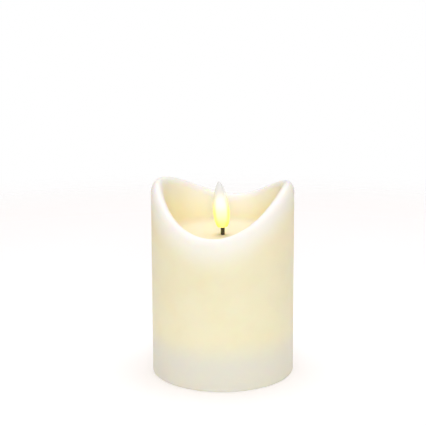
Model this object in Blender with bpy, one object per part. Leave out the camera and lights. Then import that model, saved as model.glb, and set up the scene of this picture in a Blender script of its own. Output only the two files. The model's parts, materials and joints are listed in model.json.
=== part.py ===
"""A flameless LED pillar candle: a hollow wax shell round a lamp post, a bullet flame on a wick, and a
battery base that closes the shell from below.

The candle stands on the XY plane with its axis on +Z. The wax rim is a wave: its two peaks lie along X,
its deep dip faces -Y and its shallow dip faces +Y. Lengths are in metres.
"""

import math

import bmesh
import bpy
from mathutils import Vector

MM = 0.001

# Driving dimensions
WAX_RADIUS = 37.5 * MM
CANDLE_HEIGHT = 102.0 * MM
FIT_GAP = 0.3 * MM

# Wax shell
RIM_FRONT_DIP = 23.4 * MM
RIM_BACK_DIP = 13.6 * MM
RIM_FRONT_SHARPEN = 1.0 * MM
RIM_BACK_SHARPEN = -1.5 * MM
RIM_CREST_RADIUS = 34.0 * MM
RIM_OUTER_ROUND = 6.0 * MM
RIM_INNER_ROUND = 4.5 * MM
WAX_FOOT_CHAMFER = 0.8 * MM
WAX_WALL = 6.5 * MM
POOL_FLOOR = 72.8 * MM
POOL_DISH = 0.8 * MM
POOL_FILLET = 4.0 * MM
POOL_FILLET_Z = 3.8 * MM
WAX_FLOOR_THICKNESS = 5.0 * MM
CEILING_CHAMFER = 4.5 * MM
WICK_HOLE_RADIUS = 1.5 * MM
WICK_HOLE_FLARE = 0.6 * MM
BASE_BORE_RADIUS = 34.0 * MM
BASE_BORE_DEPTH = 21.0 * MM
BASE_BORE_CHAMFER = 0.4 * MM
WAX_SEGMENTS = 72

# Flame, wick and lamp post
FLAME_BOTTOM = 77.1 * MM
FLAME_LENGTH = 24.4 * MM
FLAME_RADIUS = 4.35 * MM
FLAME_NECK_RADIUS = 2.2 * MM
FLAME_WIDEST = 0.36
FLAME_SWELL_POWER = 0.5
FLAME_FALL_POWER = 0.66
FLAME_WALL = 0.9 * MM
FLAME_BORE_RADIUS = 1.45 * MM
FLAME_HOLLOW_TOP = 0.76
FLAME_LEAN = math.radians(-4.8)
LED_FLANGE_RADIUS = 1.25 * MM
LED_RADIUS = 1.1 * MM
LED_BOTTOM = 1.7 * MM
LED_FLANGE_TOP = 2.3 * MM
LED_DOME_START = 4.6 * MM
WICK_RADIUS = 1.05 * MM
WICK_BORE_RADIUS = 0.8 * MM
WICK_BOTTOM = 58.5 * MM
WICK_TOP = FLAME_BOTTOM + 1.2 * MM
SOCKET_PLUG_TOP = 66.4 * MM
POST_RADIUS = 6.0 * MM
POST_WALL = 1.5 * MM
POST_TOP_RADIUS = 9.0 * MM
POST_FLARE = 6.0 * MM
POST_LIP = 1.5 * MM
POST_NOTCH_HALF_WIDTH = 2.0 * MM
POST_NOTCH_TOP = 24.5 * MM
LEAD_RADIUS = 0.3 * MM
LEAD_OFFSET = 0.38 * MM
LEAD_SPREAD = 0.9 * MM
WIRE_RADIUS = 0.6 * MM

# Battery base
HOUSING_RADIUS = BASE_BORE_RADIUS - 0.4 * MM
HOUSING_WALL = 1.5 * MM
HOUSING_TOP = 20.0 * MM
PLATE_BOTTOM = 0.8 * MM
PLATE_TOP = 2.4 * MM
HOUSING_BOTTOM = PLATE_TOP + FIT_GAP
ROOF_UNDERSIDE = HOUSING_TOP - HOUSING_WALL
CHAMBER_RADIUS = HOUSING_RADIUS - HOUSING_WALL
BAY_HALF_LENGTH = 28.0 * MM
BAY_HALF_WIDTH = 15.4 * MM
BAY_WALL = 1.2 * MM
HOUSING_EDGE = 0.8 * MM
PLATE_EDGE = 0.4 * MM
BURIED = 0.7 * MM
SCREW_BOSS_RADIUS = 3.0 * MM
SCREW_PILOT_RADIUS = 1.15 * MM
SCREW_WAY_RADIUS = 1.4 * MM
SCREW_SEAT_RADIUS = 2.7 * MM
SCREW_SEAT_DEPTH = 0.9 * MM
BOARD_BOSS_RADIUS = 2.2 * MM
BOARD_PILOT_RADIUS = 0.95 * MM
POST_SOCKET_WALL = 1.5 * MM
POST_SOCKET_HEIGHT = 3.5 * MM
TAIL_SLOT_HALF_WIDTH = 1.6 * MM
TAB_NOTCH_HALF_WIDTH = 2.6 * MM
TAB_NOTCH_DEPTH = 2.8 * MM
FINGER_SCOOP_X = -31.2 * MM
FINGER_SCOOP_HALF_WIDTH = 5.0 * MM
FINGER_SCOOP_DEPTH = 1.0 * MM

# Cells, size AA, lying along X
CELL_RADIUS = 7.1 * MM
CELL_CAN_LENGTH = 49.0 * MM
CELL_NUB_LENGTH = 1.0 * MM
CELL_NUB_RADIUS = 2.6 * MM
CELL_PITCH = 15.4 * MM
CELL_AXIS_Z = 10.8 * MM
CELL_NUB_X = 27.0 * MM
SPRING_LENGTH = 3.7 * MM
SPRING_TURNS = 3.5
SPRING_WIRE = 0.35 * MM
SPRING_WIDE_RADIUS = 4.9 * MM
SPRING_NARROW_RADIUS = 3.2 * MM
CONTACT_X = 27.3 * MM
CONTACT_THICKNESS = 0.4 * MM
CONTACT_BOTTOM = 5.9 * MM
CONTACT_TOP = 15.7 * MM
CONTACT_HALF_WIDTH = 5.5 * MM
TAIL_HALF_WIDTH = 1.2 * MM
TAIL_TOP = 22.3 * MM

# Battery door, which turns about an axis along Y at its +X end
DOOR_PIVOT_X = 27.6 * MM
DOOR_PIVOT_Z = (PLATE_BOTTOM + PLATE_TOP) / 2
DOOR_OPENING_X = 28.7 * MM
DOOR_OPENING_Y = 16.1 * MM
DOOR_CORNER = 5.0 * MM
DOOR_TAB_Y = 8.0 * MM
DOOR_TAB_HALF_WIDTH = 2.0 * MM
TAB_RISER_X = (26.8 * MM, 27.7 * MM)
TAB_HOOK_X = 29.4 * MM
TAB_HOOK_Z = (2.75 * MM, 3.35 * MM)
LATCH_HALF_WIDTH = 4.2 * MM
LATCH_ROOT_X = -19.5 * MM
LATCH_SLIT = 0.7 * MM
LATCH_NUB_HALF_WIDTH = 2.8 * MM
LATCH_NUB_END_X = -26.7 * MM
LATCH_NUB_TOP = 4.4 * MM
GRIP_START_X = -26.6 * MM
GRIP_PITCH = 1.6 * MM
GRIP_WIDTH = 0.7 * MM
GRIP_HALF_LENGTH = 3.4 * MM
GRIP_RISE = 0.35 * MM

# Control board and slide switch, in the chamber on the -Y side
BOARD_HALF_LENGTH = 15.0 * MM
BOARD_NEAR_Y = -17.4 * MM
BOARD_FAR_Y = -27.8 * MM
BOARD_BOTTOM = 10.4 * MM
BOARD_TOP = 11.6 * MM
BOARD_SCREW_X = 12.0 * MM
BOARD_SCREW_Y = -22.0 * MM
SWITCH_Y = -22.6 * MM
SWITCH_TRAVEL = 4.0 * MM
SWITCH_FRAME_BOTTOM = 5.6 * MM
PAD_HALF_LENGTH = 8.0 * MM
PAD_HALF_WIDTH = 4.0 * MM
DISH_HALF_LENGTH = 7.0 * MM
DISH_HALF_WIDTH = 3.0 * MM
DISH_DEPTH = 1.1 * MM
SLOT_HALF_LENGTH = 4.0 * MM
SLOT_HALF_WIDTH = 1.7 * MM
BASE_SCREWS = ((21.0 * MM, -22.0 * MM), (-21.0 * MM, -22.0 * MM), (0.0, 25.5 * MM))


# ---------------------------------------------------------------- materials
def plain_material(name, colour, roughness, metallic=0.0):
    """A Principled BSDF with one colour."""
    made = bpy.data.materials.get(name) or bpy.data.materials.new(name)
    made.use_nodes = True
    shader = made.node_tree.nodes["Principled BSDF"]
    shader.inputs["Base Color"].default_value = (*colour, 1.0)
    shader.inputs["Roughness"].default_value = roughness
    shader.inputs["Metallic"].default_value = metallic
    return made


WAX = plain_material("ivory_wax", (0.89, 0.82, 0.62), 0.45)
FLAME = plain_material("frosted_flame", (1.0, 0.93, 0.62), 0.35)
WHITE_ABS = plain_material("white_abs", (0.84, 0.83, 0.78), 0.4)
BLACK_PLASTIC = plain_material("black_plastic", (0.03, 0.028, 0.025), 0.5)
NICKEL = plain_material("nickel_steel", (0.72, 0.71, 0.68), 0.25, 1.0)
BOARD_GREEN = plain_material("board_green", (0.05, 0.22, 0.09), 0.45)
CELL_JACKET = plain_material("cell_jacket", (0.11, 0.13, 0.16), 0.35)
RED_INSULATION = plain_material("red_insulation", (0.6, 0.03, 0.02), 0.4)
BLACK_INSULATION = plain_material("black_insulation", (0.02, 0.02, 0.02), 0.4)
LED_RESIN = plain_material("led_resin", (0.95, 0.85, 0.45), 0.1)
RESISTOR_TAN = plain_material("resistor_tan", (0.6, 0.45, 0.28), 0.5)


# ---------------------------------------------------------------- building blocks
def clear_scene():
    for old in list(bpy.data.objects):
        bpy.data.objects.remove(old)


def add_object(name, mesh, material, location=(0, 0, 0), smooth_angle=35):
    made = bpy.data.objects.new(name, mesh)
    made.location = location
    bpy.context.scene.collection.objects.link(made)
    if material:
        mesh.materials.append(material)
        mesh.shade_smooth()
        mesh.set_sharp_from_angle(angle=math.radians(smooth_angle))
    return made


def mesh_from(name, points, faces):
    mesh = bpy.data.meshes.new(name)
    mesh.from_pydata(points, [], faces)
    mesh.update()
    return mesh


def ring_mesh(name, rings, looped):
    """Joins rings of points, each as long as the next, with quads.

    A looped stack closes on itself, and any other starts and ends in a single pole point.
    """
    count = len(rings[0]) if looped else len(rings[1])
    poles = [] if looped else [rings[0][0], rings[-1][0]]
    walls = rings if looped else rings[1:-1]
    points = [point for ring in walls for point in ring] + poles
    faces = []
    for row in range(len(walls) if looped else len(walls) - 1):
        here, there = row * count, (row + 1) % len(walls) * count
        for i in range(count):
            j = (i + 1) % count
            faces.append((here + i, here + j, there + j, there + i))
    if not looped:
        first, last, end = len(points) - 2, len(points) - 1, (len(walls) - 1) * count
        for i in range(count):
            j = (i + 1) % count
            faces.append((first, j, i))
            faces.append((last, end + i, end + j))
    return mesh_from(name, points, faces)


def turned_mesh(name, profile, segments):
    """Turns (radius, z) points about Z. The profile runs upwards on its outer side.

    It is a closed loop clear of the axis, or it starts and ends on the axis.
    """
    looped = profile[0][0] > 0
    rings = []
    for radius, z in profile:
        angles = [2 * math.pi * i / segments for i in range(segments)]
        rings.append([(radius * math.cos(a), radius * math.sin(a), z) for a in angles])
    return ring_mesh(name, rings, looped)


def turned(name, profile, material, segments=24, location=(0, 0, 0)):
    return add_object(name, turned_mesh(name, profile, segments), material, location)


def box_mesh(name, low, high):
    mesh = bpy.data.meshes.new(name)
    bm = bmesh.new()
    bmesh.ops.create_cube(bm, size=1.0)
    for vertex in bm.verts:
        for axis in range(3):
            middle, size = (low[axis] + high[axis]) / 2, high[axis] - low[axis]
            vertex.co[axis] = middle + vertex.co[axis] * size
    bm.to_mesh(mesh)
    bm.free()
    return mesh


def box(name, low, high, material=None):
    return add_object(name, box_mesh(name, low, high), material)


def rod(name, x, y, radius, bottom, top, segments=24, material=None):
    profile = [(0, bottom), (radius, bottom), (radius, top), (0, top)]
    return turned(name, profile, material, segments, (x, y, 0))


def rounded_slab(name, low, high, corner, material=None, corner_steps=5):
    """A flat slab whose plan is a rectangle with round corners."""
    middle_x, middle_y = (low[0] + high[0]) / 2, (low[1] + high[1]) / 2
    reach_x, reach_y = (high[0] - low[0]) / 2 - corner, (high[1] - low[1]) / 2 - corner
    outline = []
    for quarter, (side_x, side_y) in enumerate(((1, 1), (-1, 1), (-1, -1), (1, -1))):
        for step in range(corner_steps + 1):
            angle = (quarter + step / corner_steps) * math.pi / 2
            outline.append(
                (
                    middle_x + side_x * reach_x + corner * math.cos(angle),
                    middle_y + side_y * reach_y + corner * math.sin(angle),
                )
            )
    rings = [[(middle_x, middle_y, low[2])]]
    rings += [[(x, y, z) for x, y in outline] for z in (low[2], high[2])]
    rings += [[(middle_x, middle_y, high[2])]]
    return add_object(name, ring_mesh(name, rings, False), material)


def combine(target, helper, operation):
    """Adds a Boolean to the target and hides the helper from the model."""
    modifier = target.modifiers.new(operation.lower(), "BOOLEAN")
    modifier.object = helper
    modifier.operation = operation
    modifier.solver = "EXACT"
    helper.hide_render = True
    helper.display_type = "WIRE"


def cut(target, helper):
    combine(target, helper, "DIFFERENCE")


def join(target, helper):
    combine(target, helper, "UNION")


def ease_edges(target, width, angle=40):
    bevel = target.modifiers.new("eased_edges", "BEVEL")
    bevel.width = width
    bevel.segments = 1
    bevel.limit_method = "ANGLE"
    bevel.angle_limit = math.radians(angle)


def smooth_route(points, spacing):
    """Points along a Catmull-Rom curve through the given ones."""
    ends = [2 * points[0] - points[1], *points, 2 * points[-1] - points[-2]]
    route = []
    for before, start, finish, after in zip(ends, ends[1:], ends[2:], ends[3:]):
        steps = max(1, round((finish - start).length / spacing))
        for step in range(steps):
            t = step / steps
            route.append(
                0.5
                * (
                    2 * start
                    + (finish - before) * t
                    + (2 * before - 5 * start + 4 * finish - after) * t**2
                    + (3 * start - before - 3 * finish + after) * t**3
                )
            )
    return [*route, points[-1]]


def wire(name, route, radius, material):
    """A round wire along a route, as a bevelled curve with filled caps."""
    curve = bpy.data.curves.new(name, "CURVE")
    curve.dimensions = "3D"
    curve.bevel_depth = radius
    curve.bevel_resolution = 2
    curve.use_fill_caps = True
    spline = curve.splines.new("POLY")
    spline.points.add(len(route) - 1)
    for place, point in zip(spline.points, route):
        place.co = (*point, 1.0)
    made = bpy.data.objects.new(name, curve)
    bpy.context.scene.collection.objects.link(made)
    curve.materials.append(material)
    return made


# ---------------------------------------------------------------- wax shell
def rim_height(angle):
    """Height of the rim's crest at an angle from +X, with the deep dip at -Y."""
    front = math.sin(angle) < 0
    dip = RIM_FRONT_DIP if front else RIM_BACK_DIP
    sharpen = RIM_FRONT_SHARPEN if front else RIM_BACK_SHARPEN
    return CANDLE_HEIGHT - dip * math.sin(angle) ** 2 - sharpen * math.sin(2 * angle) ** 2


def arc(centre, radius_r, radius_z, start, end, steps):
    """Points of an ellipse's arc in the (radius, z) plane, in degrees, ends included."""
    points = []
    for step in range(steps + 1):
        a = math.radians(start + (end - start) * step / steps)
        points.append((centre[0] + radius_r * math.cos(a), centre[1] + radius_z * math.sin(a)))
    return points


def wax_section(angle):
    """The shell's closed section at one angle, running up the outer wall and down the inner one.

    Where the wall is low, its inner rounding and the pool's fillet shrink, so that they never cross.
    """
    crest = rim_height(angle)
    inner_wall = WAX_RADIUS - WAX_WALL
    outer_reach = WAX_RADIUS - RIM_CREST_RADIUS
    inner_reach = RIM_CREST_RADIUS - inner_wall
    pool_edge = inner_wall - POOL_FILLET
    pool_edge_z = POOL_FLOOR + POOL_DISH
    depth = crest - pool_edge_z
    inner_round = min(RIM_INNER_ROUND, 0.45 * depth)
    fillet_z = min(POOL_FILLET_Z, 0.5 * depth)
    underside = POOL_FLOOR - WAX_FLOOR_THICKNESS
    section = [
        (BASE_BORE_RADIUS + BASE_BORE_CHAMFER, 0.0),
        (WAX_RADIUS - WAX_FOOT_CHAMFER, 0.0),
        (WAX_RADIUS, WAX_FOOT_CHAMFER),
        (WAX_RADIUS, (crest - RIM_OUTER_ROUND) / 2),
    ]
    section += arc((RIM_CREST_RADIUS, crest - RIM_OUTER_ROUND), outer_reach, RIM_OUTER_ROUND, 0, 90, 5)
    section += arc((RIM_CREST_RADIUS, crest - inner_round), inner_reach, inner_round, 115, 180, 3)
    section += arc((pool_edge, pool_edge_z + fillet_z), POOL_FILLET, fillet_z, 0, -90, 4)
    for share in (0.7, 0.35):
        section.append((pool_edge * share, POOL_FLOOR + POOL_DISH * share**2))
    section += [
        (WICK_HOLE_RADIUS + WICK_HOLE_FLARE, POOL_FLOOR),
        (WICK_HOLE_RADIUS, POOL_FLOOR - WICK_HOLE_FLARE),
        (WICK_HOLE_RADIUS, underside),
        (inner_wall - CEILING_CHAMFER, underside),
        (inner_wall, underside - CEILING_CHAMFER),
        (inner_wall, BASE_BORE_DEPTH),
        (BASE_BORE_RADIUS, BASE_BORE_DEPTH),
        (BASE_BORE_RADIUS, BASE_BORE_CHAMFER),
    ]
    return section


def make_wax_shell():
    """Sections all the way round, joined ring by ring."""
    angles = [2 * math.pi * i / WAX_SEGMENTS for i in range(WAX_SEGMENTS)]
    rings = []
    for row in zip(*[wax_section(angle) for angle in angles]):
        rings.append([(radius * math.cos(a), radius * math.sin(a), z) for (radius, z), a in zip(row, angles)])
    add_object("wax_shell", ring_mesh("wax_shell", rings, True), WAX)


# ---------------------------------------------------------------- flame and wick
def flame_radius(share):
    """Outer radius of the flame at a share of its length from the bottom."""
    if share < FLAME_WIDEST:
        swell = math.sin(math.pi / 2 * share / FLAME_WIDEST) ** FLAME_SWELL_POWER
        return FLAME_NECK_RADIUS + (FLAME_RADIUS - FLAME_NECK_RADIUS) * swell
    fall = (share - FLAME_WIDEST) / (1 - FLAME_WIDEST)
    return FLAME_RADIUS * math.cos(math.pi / 2 * fall) ** FLAME_FALL_POWER


def make_flame_tip():
    """The bullet flame, hollow from its foot so that the LED stands inside it."""
    outer_shares = (0, 0.02, 0.06, 0.12, 0.2, 0.28, 0.36, 0.46, 0.56, 0.66, 0.75, 0.83, 0.9, 0.95, 0.985)
    inner_shares = (0.72, 0.66, 0.56, 0.45, 0.33, 0.2, 0.11)
    outside = [(flame_radius(s), s * FLAME_LENGTH) for s in outer_shares]
    inside = [(flame_radius(s) - FLAME_WALL, s * FLAME_LENGTH) for s in inner_shares]
    bore = [(FLAME_BORE_RADIUS, 0.07 * FLAME_LENGTH), (FLAME_BORE_RADIUS, 0.0)]
    profile = [(0, FLAME_HOLLOW_TOP * FLAME_LENGTH), *inside, *bore, *outside, (0, FLAME_LENGTH)]
    flame = turned("flame_tip", profile, FLAME, 28, (0, 0, FLAME_BOTTOM))
    flame.rotation_euler = (0, FLAME_LEAN, 0)


def make_flame_led():
    """A small round LED whose dome stands in the flame's hollow."""
    profile = [(0, LED_BOTTOM), (LED_FLANGE_RADIUS, LED_BOTTOM), (LED_FLANGE_RADIUS, LED_FLANGE_TOP)]
    profile.append((LED_RADIUS, LED_FLANGE_TOP + 0.1 * MM))
    profile += arc((0, LED_DOME_START), LED_RADIUS, LED_RADIUS, 0, 75, 4)
    profile.append((0, LED_DOME_START + LED_RADIUS))
    led = turned("flame_led", profile, LED_RESIN, 16, (0, 0, FLAME_BOTTOM))
    led.rotation_euler = (0, FLAME_LEAN, 0)


def make_wick():
    """The tube that stands for the wick, and the plug that holds it in the top of the post."""
    tube = [
        (WICK_BORE_RADIUS, WICK_BOTTOM),
        (WICK_RADIUS, WICK_BOTTOM),
        (WICK_RADIUS, WICK_TOP),
        (WICK_BORE_RADIUS, WICK_TOP),
    ]
    turned("wick_stem", tube, BLACK_PLASTIC, 20)
    bore, plug, bottom = WICK_RADIUS + 0.25 * MM, POST_RADIUS - POST_WALL - FIT_GAP, WICK_BOTTOM - 0.5 * MM
    socket = [
        (bore, bottom),
        (plug - 0.8 * MM, bottom),
        (plug, bottom + 1.2 * MM),
        (plug, SOCKET_PLUG_TOP),
        (bore + 0.7 * MM, SOCKET_PLUG_TOP),
        (bore, SOCKET_PLUG_TOP - 0.6 * MM),
    ]
    turned("wick_socket", socket, WHITE_ABS, 24)


def make_wick_holder():
    """The post that carries the wick, flared at its top to hold the wax floor."""
    bottom, top = HOUSING_TOP + FIT_GAP, POOL_FLOOR - WAX_FLOOR_THICKNESS - FIT_GAP
    bore = POST_RADIUS - POST_WALL
    tube = [(bore, bottom), (POST_RADIUS, bottom), (POST_RADIUS, top - POST_FLARE)]
    tube += [(POST_TOP_RADIUS, top - POST_LIP), (POST_TOP_RADIUS, top), (bore, top)]
    post = turned("wick_holder", tube, WHITE_ABS, 32)
    notch_low = (-POST_NOTCH_HALF_WIDTH, -9 * MM, HOUSING_TOP - 1 * MM)
    notch_high = (POST_NOTCH_HALF_WIDTH, -2 * MM, POST_NOTCH_TOP)
    cut(post, box("cut_post_notch", notch_low, notch_high))


def make_led_leads():
    """Two thin leads from the LED, down the wick and post, then over the housing to the board."""
    for name, side, material in (
        ("led_lead_positive", 1, RED_INSULATION),
        ("led_lead_negative", -1, BLACK_INSULATION),
    ):
        x, wide_x = side * LEAD_OFFSET, side * LEAD_SPREAD
        corners = [
            Vector((x, 0, FLAME_BOTTOM + 1.1 * MM)),
            Vector((x, 0, 70 * MM)),
            Vector((x, 0, 56 * MM)),
            Vector((wide_x, 0, 40 * MM)),
            Vector((wide_x, -0.5 * MM, 27 * MM)),
            Vector((wide_x, -3.5 * MM, 22 * MM)),
            Vector((wide_x, -9 * MM, 20.9 * MM)),
            Vector((wide_x, -16 * MM, 20.8 * MM)),
            Vector((wide_x, -19 * MM, 19 * MM)),
            Vector((wide_x, -19.3 * MM, BOARD_TOP + 0.4 * MM)),
        ]
        wire(name, smooth_route(corners, 2.2 * MM), LEAD_RADIUS, material)


# ---------------------------------------------------------------- battery base
def make_battery_housing():
    """The round tub: a roof and a skirt, with the battery bay, the screw bosses and the post's socket."""
    skirt = [
        (CHAMBER_RADIUS, HOUSING_BOTTOM),
        (HOUSING_RADIUS, HOUSING_BOTTOM),
        (HOUSING_RADIUS, HOUSING_TOP - HOUSING_EDGE),
        (HOUSING_RADIUS - HOUSING_EDGE, HOUSING_TOP),
        (0, HOUSING_TOP),
    ]
    profile = [(0, ROOF_UNDERSIDE), (CHAMBER_RADIUS, ROOF_UNDERSIDE), *skirt]
    housing = turned("battery_housing", profile, WHITE_ABS, 64)

    wall_x, wall_y = BAY_HALF_LENGTH + BAY_WALL, BAY_HALF_WIDTH + BAY_WALL
    inside_roof = ROOF_UNDERSIDE + BURIED
    bay = box("add_bay", (-wall_x, -wall_y, HOUSING_BOTTOM), (wall_x, wall_y, inside_roof))
    trim = rod("trim_bay", 0, 0, CHAMBER_RADIUS + BURIED, 0, HOUSING_TOP, 64)
    combine(bay, trim, "INTERSECT")
    join(housing, bay)
    for number, (x, y) in enumerate(BASE_SCREWS, 1):
        boss = rod(f"add_base_boss_{number}", x, y, SCREW_BOSS_RADIUS, HOUSING_BOTTOM, inside_roof, 20)
        join(housing, boss)
    boss_bottom = BOARD_TOP + FIT_GAP
    for side in (-1, 1):
        x, y = side * BOARD_SCREW_X, BOARD_SCREW_Y
        join(housing, rod(f"add_board_boss_{side}", x, y, BOARD_BOSS_RADIUS, boss_bottom, inside_roof, 16))
    bore, outside = POST_RADIUS + FIT_GAP, POST_RADIUS + FIT_GAP + POST_SOCKET_WALL
    bottom, top = HOUSING_TOP - 0.5 * MM, HOUSING_TOP + POST_SOCKET_HEIGHT
    socket = [(bore, bottom), (outside, bottom), (outside, top), (bore, top)]
    join(housing, turned("add_post_socket", socket, None, 32))
    cut_housing(housing)


def cut_housing(housing):
    """The bay's hollow, the screw pilots, and the slots for contact tails, door tabs and wires."""
    bay_low = (-BAY_HALF_LENGTH, -BAY_HALF_WIDTH, 0)
    cut(housing, box("cut_bay", bay_low, (BAY_HALF_LENGTH, BAY_HALF_WIDTH, ROOF_UNDERSIDE)))
    for number, (x, y) in enumerate(BASE_SCREWS, 1):
        cut(housing, rod(f"cut_base_pilot_{number}", x, y, SCREW_PILOT_RADIUS, 0, 12 * MM, 16))
    for side in (-1, 1):
        x, y = side * BOARD_SCREW_X, BOARD_SCREW_Y
        cut(housing, rod(f"cut_board_pilot_{side}", x, y, BOARD_PILOT_RADIUS, 9 * MM, 17.4 * MM, 12))
        tail_y, tab_y = side * CELL_PITCH / 2, side * DOOR_TAB_Y
        tail = box(
            f"cut_tail_slot_{side}",
            (-CONTACT_X - 0.8 * MM, tail_y - TAIL_SLOT_HALF_WIDTH, ROOF_UNDERSIDE - 1 * MM),
            (-CONTACT_X + 0.4 * MM, tail_y + TAIL_SLOT_HALF_WIDTH, HOUSING_TOP + 1 * MM),
        )
        cut(housing, tail)
        notch = box(
            f"cut_tab_notch_{side}",
            (BAY_HALF_LENGTH - 1 * MM, tab_y - TAB_NOTCH_HALF_WIDTH, 0),
            (BAY_HALF_LENGTH + TAB_NOTCH_DEPTH, tab_y + TAB_NOTCH_HALF_WIDTH, CONTACT_BOTTOM),
        )
        cut(housing, notch)
    wire_slot_low = (-10 * MM, -20.6 * MM, ROOF_UNDERSIDE - 1.5 * MM)
    cut(housing, box("cut_wire_slot", wire_slot_low, (2.2 * MM, -18 * MM, HOUSING_TOP + 2 * MM)))
    gap_low = (-POST_NOTCH_HALF_WIDTH, -10 * MM, HOUSING_TOP + 0.2 * MM)
    gap_high = (POST_NOTCH_HALF_WIDTH, -4 * MM, HOUSING_TOP + 5 * MM)
    cut(housing, box("cut_socket_gap", gap_low, gap_high))


def make_base_plate():
    """The plate that closes the base, with its door opening, finger scoop, switch slot and screw holes."""
    profile = [
        (0, PLATE_BOTTOM),
        (HOUSING_RADIUS - PLATE_EDGE, PLATE_BOTTOM),
        (HOUSING_RADIUS, PLATE_BOTTOM + PLATE_EDGE),
        (HOUSING_RADIUS, PLATE_TOP),
        (0, PLATE_TOP),
    ]
    plate = turned("base_plate", profile, WHITE_ABS, 64)
    pad_low = (-PAD_HALF_LENGTH, SWITCH_Y - PAD_HALF_WIDTH, PLATE_TOP - 0.5 * MM)
    pad_high = (PAD_HALF_LENGTH, SWITCH_Y + PAD_HALF_WIDTH, PLATE_TOP + 1 * MM)
    join(plate, rounded_slab("add_switch_pad", pad_low, pad_high, 2 * MM))
    low = (-DOOR_OPENING_X, -DOOR_OPENING_Y, 0)
    high = (DOOR_OPENING_X - DOOR_CORNER, DOOR_OPENING_Y, PLATE_TOP + 2 * MM)
    cut(plate, rounded_slab("cut_door_opening", low, high, DOOR_CORNER))
    square_high = (DOOR_OPENING_X, DOOR_OPENING_Y, PLATE_TOP + 2 * MM)
    cut(plate, box("cut_hinge_end", (0, -DOOR_OPENING_Y, 0), square_high))
    finger_low = (FINGER_SCOOP_X, -FINGER_SCOOP_HALF_WIDTH, 0)
    finger_high = (3 * MM - DOOR_OPENING_X, FINGER_SCOOP_HALF_WIDTH, PLATE_BOTTOM + FINGER_SCOOP_DEPTH)
    cut(plate, rounded_slab("cut_finger_scoop", finger_low, finger_high, 2.3 * MM))
    dish_low = (-DISH_HALF_LENGTH, SWITCH_Y - DISH_HALF_WIDTH, 0)
    dish_high = (DISH_HALF_LENGTH, SWITCH_Y + DISH_HALF_WIDTH, PLATE_BOTTOM + DISH_DEPTH)
    cut(plate, rounded_slab("cut_switch_dish", dish_low, dish_high, 2 * MM))
    slot_low = (-SLOT_HALF_LENGTH, SWITCH_Y - SLOT_HALF_WIDTH, 0)
    slot_high = (SLOT_HALF_LENGTH, SWITCH_Y + SLOT_HALF_WIDTH, PLATE_TOP + 3 * MM)
    cut(plate, rounded_slab("cut_switch_slot", slot_low, slot_high, 0.6 * MM, corner_steps=2))
    for number, (x, y) in enumerate(BASE_SCREWS, 1):
        cut(plate, rod(f"cut_screw_way_{number}", x, y, SCREW_WAY_RADIUS, 0, PLATE_TOP + 1.6 * MM, 16))
        seat_top = PLATE_BOTTOM + SCREW_SEAT_DEPTH
        cut(plate, rod(f"cut_screw_head_{number}", x, y, SCREW_SEAT_RADIUS, 0, seat_top, 20))


def make_battery_door():
    """The door, with hinge tabs at +X and a springy latch tongue at -X. Its origin is on the pivot."""
    reach_y = DOOR_OPENING_Y - FIT_GAP
    low = (-DOOR_OPENING_X + FIT_GAP, -reach_y, PLATE_BOTTOM)
    high = (DOOR_PIVOT_X - DOOR_CORNER, reach_y, PLATE_TOP)
    door = rounded_slab("battery_door", low, high, DOOR_CORNER, WHITE_ABS)
    hinge_end_high = (DOOR_PIVOT_X + 0.2 * MM, reach_y, PLATE_TOP)
    join(door, box("add_hinge_end", (0, -reach_y, PLATE_BOTTOM), hinge_end_high))
    knuckle = rod("add_knuckle", 0, 0, (PLATE_TOP - PLATE_BOTTOM) / 2, -reach_y, reach_y, 16)
    knuckle.rotation_euler = (math.pi / 2, 0, 0)
    knuckle.location = (DOOR_PIVOT_X, 0, DOOR_PIVOT_Z)
    join(door, knuckle)
    for side in (-1, 1):
        add_hinge_tab(door, side)
        edges = sorted((side * LATCH_HALF_WIDTH, side * (LATCH_HALF_WIDTH + LATCH_SLIT)))
        slit_low, slit_high = (low[0] - 1 * MM, edges[0], 0), (LATCH_ROOT_X, edges[1], PLATE_TOP + 1 * MM)
        cut(door, box(f"cut_latch_slit_{side}", slit_low, slit_high))
    nub_low = (-BAY_HALF_LENGTH + FIT_GAP, -LATCH_NUB_HALF_WIDTH, PLATE_TOP - 0.3 * MM)
    join(door, box("add_latch_nub", nub_low, (LATCH_NUB_END_X, LATCH_NUB_HALF_WIDTH, LATCH_NUB_TOP)))
    for number in range(3):
        x = GRIP_START_X + number * GRIP_PITCH
        grip_low = (x, -GRIP_HALF_LENGTH, PLATE_BOTTOM - GRIP_RISE)
        grip_high = (x + GRIP_WIDTH, GRIP_HALF_LENGTH, PLATE_BOTTOM + GRIP_RISE)
        join(door, box(f"add_grip_{number}", grip_low, grip_high))


def add_hinge_tab(door, side):
    """A riser inside the hinge end, with a hook that reaches out over the plate's edge."""
    near, far = side * DOOR_TAB_Y - DOOR_TAB_HALF_WIDTH, side * DOOR_TAB_Y + DOOR_TAB_HALF_WIDTH
    riser_low = (TAB_RISER_X[0], near, PLATE_TOP - 0.4 * MM)
    join(door, box(f"add_riser_{side}", riser_low, (TAB_RISER_X[1], far, TAB_HOOK_Z[0] + 0.25 * MM)))
    hook_low, hook_high = (TAB_RISER_X[0], near, TAB_HOOK_Z[0]), (TAB_HOOK_X, far, TAB_HOOK_Z[1])
    join(door, box(f"add_hook_{side}", hook_low, hook_high))


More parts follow.
